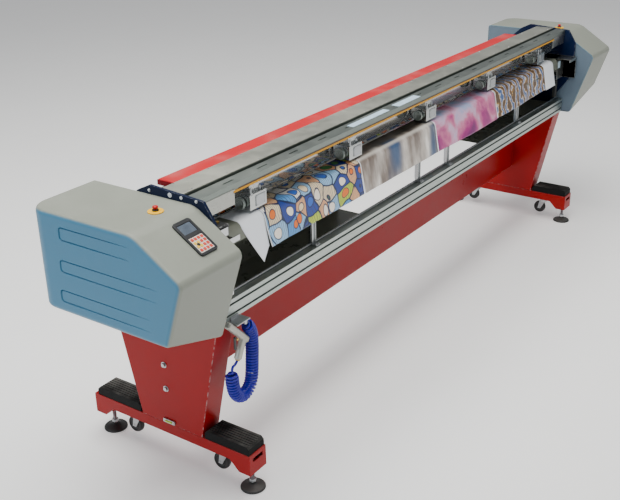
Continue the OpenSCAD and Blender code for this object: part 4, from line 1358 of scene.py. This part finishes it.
@dataclass
class Drive:
    """The works at both ends of the guide: motor, gear case, brackets and the far end plate."""

    def build(self) -> None:
        """Models the near end, then the far end."""
        near, far = corners("drive_unit")
        self.near_end(near.x)
        self.far_end(far.x)

    def near_end(self, wall: float) -> None:
        """A ribbed motor, its gear case, folded brackets, a lever, brass fittings and cable clips."""
        y, z = -0.258, 0.9856
        bm = new_mesh()
        profile = [(0.0, 0.0), (0.0300, 0.0), (0.0300, 0.006)]
        for i in range(9):
            at = 0.008 + i * 0.006
            profile += [(0.0272, at), (0.0272, at + 0.002), (0.0318, at + 0.003), (0.0318, at + 0.005)]
        profile += [(0.0300, 0.064), (0.0318, 0.066), (0.0318, 0.074), (0.0295, 0.0775), (0.012, 0.0775),
                    (0.0115, 0.0755), (0.0, 0.0755)]
        add_lathe(bm, profile, (wall, y, z), (1, 0, 0), 40)
        make_piece(bm, "motor", MOTOR_GREY, replaces=["drive_unit"])
        bm = new_mesh()
        add_box(bm, (wall, -0.222, z - 0.030), (wall + 0.040, -0.160, z + 0.030))
        add_box(bm, (wall, -0.330, 0.905), (wall + 0.012, -0.230, 0.948))
        add_box(bm, (wall, -0.312, 1.052), (wall + 0.072, -0.262, 1.098))
        round_edges(bm, sharp_edges(bm), 0.0035, 3)
        make_piece(bm, "gear_case", BLACK_PART)
        bm = new_mesh()
        add_box(bm, (wall + 0.001, -0.326, 1.024), (wall + 0.112, -0.323, 1.046))
        add_box(bm, (wall + 0.001, -0.326, 1.024), (wall + 0.112, -0.250, 1.0265))
        add_box(bm, (wall + 0.084, -0.300, 0.812), (wall + 0.092, -0.294, 1.022))
        add_box(bm, (wall + 0.001, -0.236, 0.800), (wall + 0.100, -0.233, 0.925))
        add_box(bm, (wall + 0.016, -0.318, 1.060), (wall + 0.060, -0.3125, 1.090))
        round_edges(bm, sharp_edges(bm), 0.0008, 2)
        make_piece(bm, "end_brackets", MIRROR_STEEL)
        bm = new_mesh()
        add_rod(bm, (wall + 0.0775, y, z), (wall + 0.092, y, z), 0.0075, segments=6)
        add_rod(bm, (wall + 0.088, -0.297, 0.960), (wall + 0.088, -0.307, 0.960), 0.006, segments=20)
        add_rod(bm, (wall + 0.020, -0.276, 1.098), (wall + 0.020, -0.276, 1.104), 0.008, segments=6)
        add_rod(bm, (wall + 0.052, -0.276, 1.098), (wall + 0.052, -0.276, 1.104), 0.008, segments=6)
        round_edges(bm, sharp_edges(bm, 50), 0.0008, 2)
        make_piece(bm, "brass_fittings", BRASS)
        bm = new_mesh()
        for z0 in (0.93, 0.985, 1.02):
            add_box(bm, (wall + 0.093, -0.262, z0 - 0.012), (wall + 0.112, -0.240, z0))
        round_edges(bm, sharp_edges(bm), 0.0015, 2)
        make_piece(bm, "cable_clips", WHITE_SCREW)

    def far_end(self, wall: float) -> None:
        """A stainless plate with folded strips, a recess in painted shade, an upright box in the same dark
        finish and a blank label.
        """
        bm = new_mesh()
        inner = wall - 0.003
        outline = [(-0.336, 0.910), (-0.336, 1.042), (-0.150, 1.042), (-0.150, 0.910)]
        add_prism(bm, [(inner, y, z) for y, z in outline], (0.003, 0, 0))
        add_box(bm, (wall - 0.110, -0.336, 1.040), (wall, -0.244, 1.0425))
        add_box(bm, (wall - 0.110, -0.336, 1.024), (wall, -0.3335, 1.0425))
        add_box(bm, (wall - 0.110, -0.262, 0.912), (wall - 0.004, -0.2595, 1.041))
        round_edges(bm, sharp_edges(bm), 0.0006, 2)
        make_piece(bm, "far_plates", STAINLESS)
        # Painted shade: a thin dark plate stands for the recess; the upright box shares its finish.
        bm = new_mesh()
        add_box(bm, (wall - 0.060, -0.2640, 0.930), (wall - 0.022, -0.2618, 1.010))
        add_box(bm, (wall - 0.100, -0.256, 0.800), (wall - 0.070, -0.238, 0.908))
        round_edges(bm, sharp_edges(bm), 0.001, 2)
        make_piece(bm, "far_recess", SLOT_SHADE_PAINT)
        bm = new_mesh()
        add_box(bm, (wall - 0.100, -0.2645, 0.982), (wall - 0.070, -0.2620, 1.022))
        make_piece(bm, "far_label", LABEL_BLUE)


# ---------------------------------------------------------------- web


@dataclass
class Web:
    """The printed film: one sheet behind the cutters and six strips that fold over the guide."""

    top: float = 1.0436
    start: float = -0.156
    bend_y: float = -0.236
    bend_r: float = 0.0269
    sweep: float = 79.0
    drop: float = 0.124
    edges: tuple = (-1.490, -1.355, -0.6775, 0.0, 0.6775, 1.355, 1.500)

    def build(self) -> None:
        """Makes the six strips and the sheet behind them."""
        for i in range(len(self.edges) - 1):
            self.strip(i)
        self.behind()

    def profile(self, s: float) -> tuple[Vector, Vector]:
        """Point and outward normal of the folded line at a length along it.

        Args:
            s: distance from the strip's rear end.

        Returns:
            The point and the normal, both with X of 0.
        """
        flat = self.start - self.bend_y
        if s <= flat:
            return Vector((0, self.start - s, self.top)), Vector((0, 0, 1))
        turn = min((s - flat) / self.bend_r, math.radians(self.sweep))
        normal = Vector((0, -math.sin(turn), math.cos(turn)))
        point = Vector((0, self.bend_y, self.top - self.bend_r)) + normal * self.bend_r
        rest = s - flat - turn * self.bend_r
        return point + Vector((0, -math.cos(turn), -math.sin(turn))) * max(0.0, rest), normal

    def length(self) -> float:
        """Length of a strip along its fold."""
        return self.start - self.bend_y + self.bend_r * math.radians(self.sweep) + self.drop

    def place(self, index: int, u: float, t: float) -> Vector:
        """A point of a strip.

        Args:
            index: which strip.
            u: 0 to 1 across it.
            t: 0 to 1 along it.

        Returns:
            The point in the row frame.
        """
        x0, x1 = self.edges[index] + 0.001, self.edges[index + 1] - 0.001
        whole = self.length()
        hang_from = 1 - self.drop / whole
        hang = max(0.0, (t - hang_from) / (1 - hang_from))
        x = x0 + u * (x1 - x0)
        extra = 0.0
        lift = 0.0018 * hang * math.sin(7.0 * u * math.pi + index) * (x1 - x0)
        if index == 0:
            x += 0.066 * hang * (1 - u) ** 1.1
            extra = hang * (0.030 * (1 - u) ** 1.5 - 0.010 * u)
            lift = 0.018 * hang ** 1.6 * (1 - u) ** 2 + 0.007 * hang * math.sin(math.pi * u)
        elif index == 1:
            lift += 0.010 * hang ** 2 * max(0.0, 1 - 6 * u)
            extra = -0.004 * hang * max(0.0, 1 - 5 * u)
        elif index == 3:
            lift += 0.010 * hang * math.sin(math.pi * u) ** 2
            extra = 0.004 * hang * u
        elif index == 4:
            lift += 0.005 * hang * math.sin(2 * math.pi * u)
            extra = -0.006 * hang * u ** 3
        point, normal = self.profile(t * whole + extra)
        return Vector((x, point.y, point.z)) + normal * lift

    def strip(self, index: int) -> None:
        width = self.edges[index + 1] - self.edges[index] - 0.002
        across = max(16, round(width / 0.022))
        rows = 44
        bm = self.grid(across, rows, lambda u, t: self.place(index, u, t), width, self.length())
        film = self.film(bm, f"web_strip_{index + 1}", PRINTS[index])
        if index == 0:
            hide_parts("printed_strips")
        share = 0.926 if index == 0 else 1.0
        self.length()
        width * self.length() * share

    def behind(self) -> None:
        """Makes the uncut web between the rollers and the knife."""
        y0, y1 = -0.13925, 0.0
        x0, x1 = self.edges[0] + 0.001, self.edges[-1] - 0.001
        bm = self.grid(60, 6, lambda u, t: Vector((x0 + u * (x1 - x0), y1 + t * (y0 - y1), self.top)),
                       x1 - x0, y1 - y0)
        film = self.film(bm, "web_behind", PRINTS[1])

    def grid(self, across: int, rows: int, place: Callable[[float, float], Vector], width: float,
             length: float) -> bmesh.types.BMesh:
        """A sheet of quads with its own map in metres.

        Args:
            across: faces across.
            rows: faces along.
            place: point of the sheet at (across, along), both 0 to 1.
            width: its flat width.
            length: its flat length.

        Returns:
            The mesh.
        """
        bm = new_mesh()
        flat = bm.loops.layers.uv.new("UVMap")
        made = bmesh.ops.create_grid(bm, x_segments=across, y_segments=rows, size=0.5)
        where = {v: (v.co.x + 0.5, 0.5 - v.co.y) for v in made["verts"]}
        for vert, (u, t) in where.items():
            vert.co = place(u, t)
        for face in bm.faces:
            for loop in face.loops:
                u, t = where[loop.vert]
                loop[flat].uv = (u * width, t * length)
        bmesh.ops.recalc_face_normals(bm, faces=bm.faces)
        bm.faces.ensure_lookup_table()
        if bm.faces[0].normal.z < 0:
            bmesh.ops.reverse_faces(bm, faces=bm.faces)
        return bm

    def film(self, bm: bmesh.types.BMesh, name: str, finish: Finish) -> bpy.types.Object:
        """Turns the sheet into a thin solid film."""
        for face in bm.faces:
            face.smooth = True
        mesh = bpy.data.meshes.new(name)
        bm.to_mesh(mesh)
        bm.free()
        mesh.materials.append(finish.material())
        made = bpy.data.objects.new(name, mesh)
        bpy.context.scene.collection.objects.link(made)
        thick = made.modifiers.new("thickness", "SOLIDIFY")
        thick.thickness = 0.0006
        thick.offset = 0.0
        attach(made, MACHINE)
        LOG.info("%s: %d faces", name, len(mesh.polygons))
        return made


# ---------------------------------------------------------------- air gun


@dataclass
class AirGun:
    """The blow gun on its hook, its trigger and its coiled hose."""

    y: float = -0.301
    level: float = 0.694
    coil_r: float = 0.0215
    hose_r: float = 0.005
    pitch: float = 0.0112
    route: tuple = ((1543, 24), (1528, 42), (1516, 66), (1510, 98), (1509, 130), (1511, 165), (1514, 200),
                    (1517, 235), (1523, 268), (1537, 296), (1558, 312), (1581, 316), (1604, 306),
                    (1622, 284), (1632, 254), (1636, 220), (1635, 186))
    pivot: tuple = (1606, 59)
    tail: tuple = ((1629, 170), (1616, 166), (1606, 160), (1601, 152))

    def at(self, across: float, down: float) -> Vector:
        """A point of the gun's plane from millimetres left of the middle and below the rail."""
        return Vector((-across / 1000, self.y, self.level - down / 1000))

    def hose(self) -> None:
        path = self.helix()
        curve = bpy.data.curves.new("air_hose_coil", "CURVE")
        curve.dimensions = "3D"
        curve.bevel_depth = self.hose_r
        curve.bevel_resolution = 3
        curve.use_fill_caps = True
        spline = curve.splines.new("POLY")
        spline.points.add(len(path) - 1)
        for point, spot in zip(spline.points, path):
            point.co = (*spot, 1.0)
        spline.use_smooth = True
        curve.materials.append(HOSE_BLUE.material())
        made = bpy.data.objects.new("air_hose_coil", curve)
        bpy.context.scene.collection.objects.link(made)
        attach(made, MACHINE)
        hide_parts("air_hose")
        length = sum((b - a).length for a, b in zip(path, path[1:]))
        LOG.info("air hose: %.3f m, %d points", length, len(path))
        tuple(path[0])

    def helix(self) -> list[Vector]:
        """Points of the hose: straight out of the hook, wound along the route, into the handle."""
        line = smooth_line([self.at(*p) for p in self.route], 14)
        total = sum((b - a).length for a, b in zip(line, line[1:]))
        turns = round((total - 0.02) / self.pitch)
        steps = turns * 18
        points = []
        for i in range(steps + 1):
            share = i / steps
            spot, along = point_along(line, share * total)
            side = Vector((along.z, 0, -along.x))
            ease = min(1.0, share * total / 0.022, (1 - share) * total / 0.022)
            r = self.coil_r * math.sin(ease * math.pi / 2)
            angle = 2 * math.pi * turns * share
            points.append(spot + side * r * math.cos(angle) + Vector((0, r * math.sin(angle), 0)))
        tail = smooth_line([points[-1], *[self.at(*p) for p in self.tail]], 5)
        return points + tail[1:]

    def gun(self) -> None:
        """The cast body with its trigger slot, nozzle, hose nut and pivot pin."""
        bm = new_mesh()
        self.bar(bm, (1646, -15), (1538, 96), 0.027, 0.025, 0.009)
        self.bar(bm, (1560, 76), (1599, 152), 0.030, 0.023, 0.008)
        body = make_piece(bm, "air_gun_body", GUN_CAST, replaces=["air_gun"])
        cutters = new_mesh()
        low = self.at(self.pivot[0] + 14, self.pivot[1] + 12)
        add_box(cutters, (low.x, self.y - 0.0045, low.z), (low.x + 0.026, self.y + 0.0045, low.z + 0.022))
        press(body, cutters)
        bm = new_mesh()
        add_rod(bm, self.at(1540, 94), self.at(1531, 103), 0.0085, 0.0055, 20)
        add_rod(bm, self.at(1600.5, 155), self.at(1596, 147), 0.0105, segments=6)
        pivot = self.at(*self.pivot)
        add_rod(bm, pivot - Vector((0, 0.0142, 0)), pivot - Vector((0, 0.0098, 0)), 0.0045, segments=20)
        round_edges(bm, sharp_edges(bm, 50), 0.0008, 2)
        make_piece(bm, "air_gun_fittings", BRASS)
        soften("air_gun_trigger", BLACK_PART, 0.0012, "air_gun_trigger")
        soften("gun_hook", ZINC, 0.0010)

    def bar(self, bm: bmesh.types.BMesh, start: Point, end: Point, high: float, thick: float,
            width: float) -> None:
        """A straight bar in the gun's plane with well rounded edges."""
        a, b = self.at(*start), self.at(*end)
        along = (b - a).normalized()
        side = Vector((along.z, 0, -along.x)) * high / 2
        out = Vector((0, thick / 2, 0))
        faces = add_prism(bm, [a + side - out, a + side + out, a - side + out, a - side - out], b - a)
        edges = {e for f in faces for e in f.edges}
        round_edges(bm, edges, width, 4)


def smooth_line(points: Sequence[Vector], steps: int) -> list[Vector]:
    """A smooth line through points, with a number of steps between neighbours."""
    ends = [2 * points[0] - points[1], *points, 2 * points[-1] - points[-2]]
    made = []
    for a, b, c, d in zip(ends, ends[1:], ends[2:], ends[3:]):
        for i in range(steps):
            t = i / steps
            made.append(0.5 * (2 * b + (c - a) * t + (2 * a - 5 * b + 4 * c - d) * t ** 2
                               + (3 * b - a - 3 * c + d) * t ** 3))
    return [*made, points[-1].copy()]


def point_along(line: Sequence[Vector], distance: float) -> tuple[Vector, Vector]:
    """Point and direction at a distance along a line."""
    for a, b in zip(line, line[1:]):
        step = (b - a).length
        if distance <= step or b is line[-1]:
            return a + (b - a) * min(1.0, distance / step), (b - a).normalized()
        distance -= step
    return line[-1].copy(), (line[-1] - line[-2]).normalized()


def main() -> None:
    """Builds the scene in order."""
    logging.basicConfig(level=logging.INFO, format="%(message)s")
    Studio().build()
    air_gun = AirGun()
    air_gun.hose()
    air_gun.gun()
    for side in (-1, 1):
        Hood(side).build()
        StopButton(side).build()
    Keypad().build()
    Stand().build()
    Beams().build()
    CutterHeads().build()
    GuideSupports().build()
    Drive().build()
    Web().build()


if __name__ == "__main__":
    main()
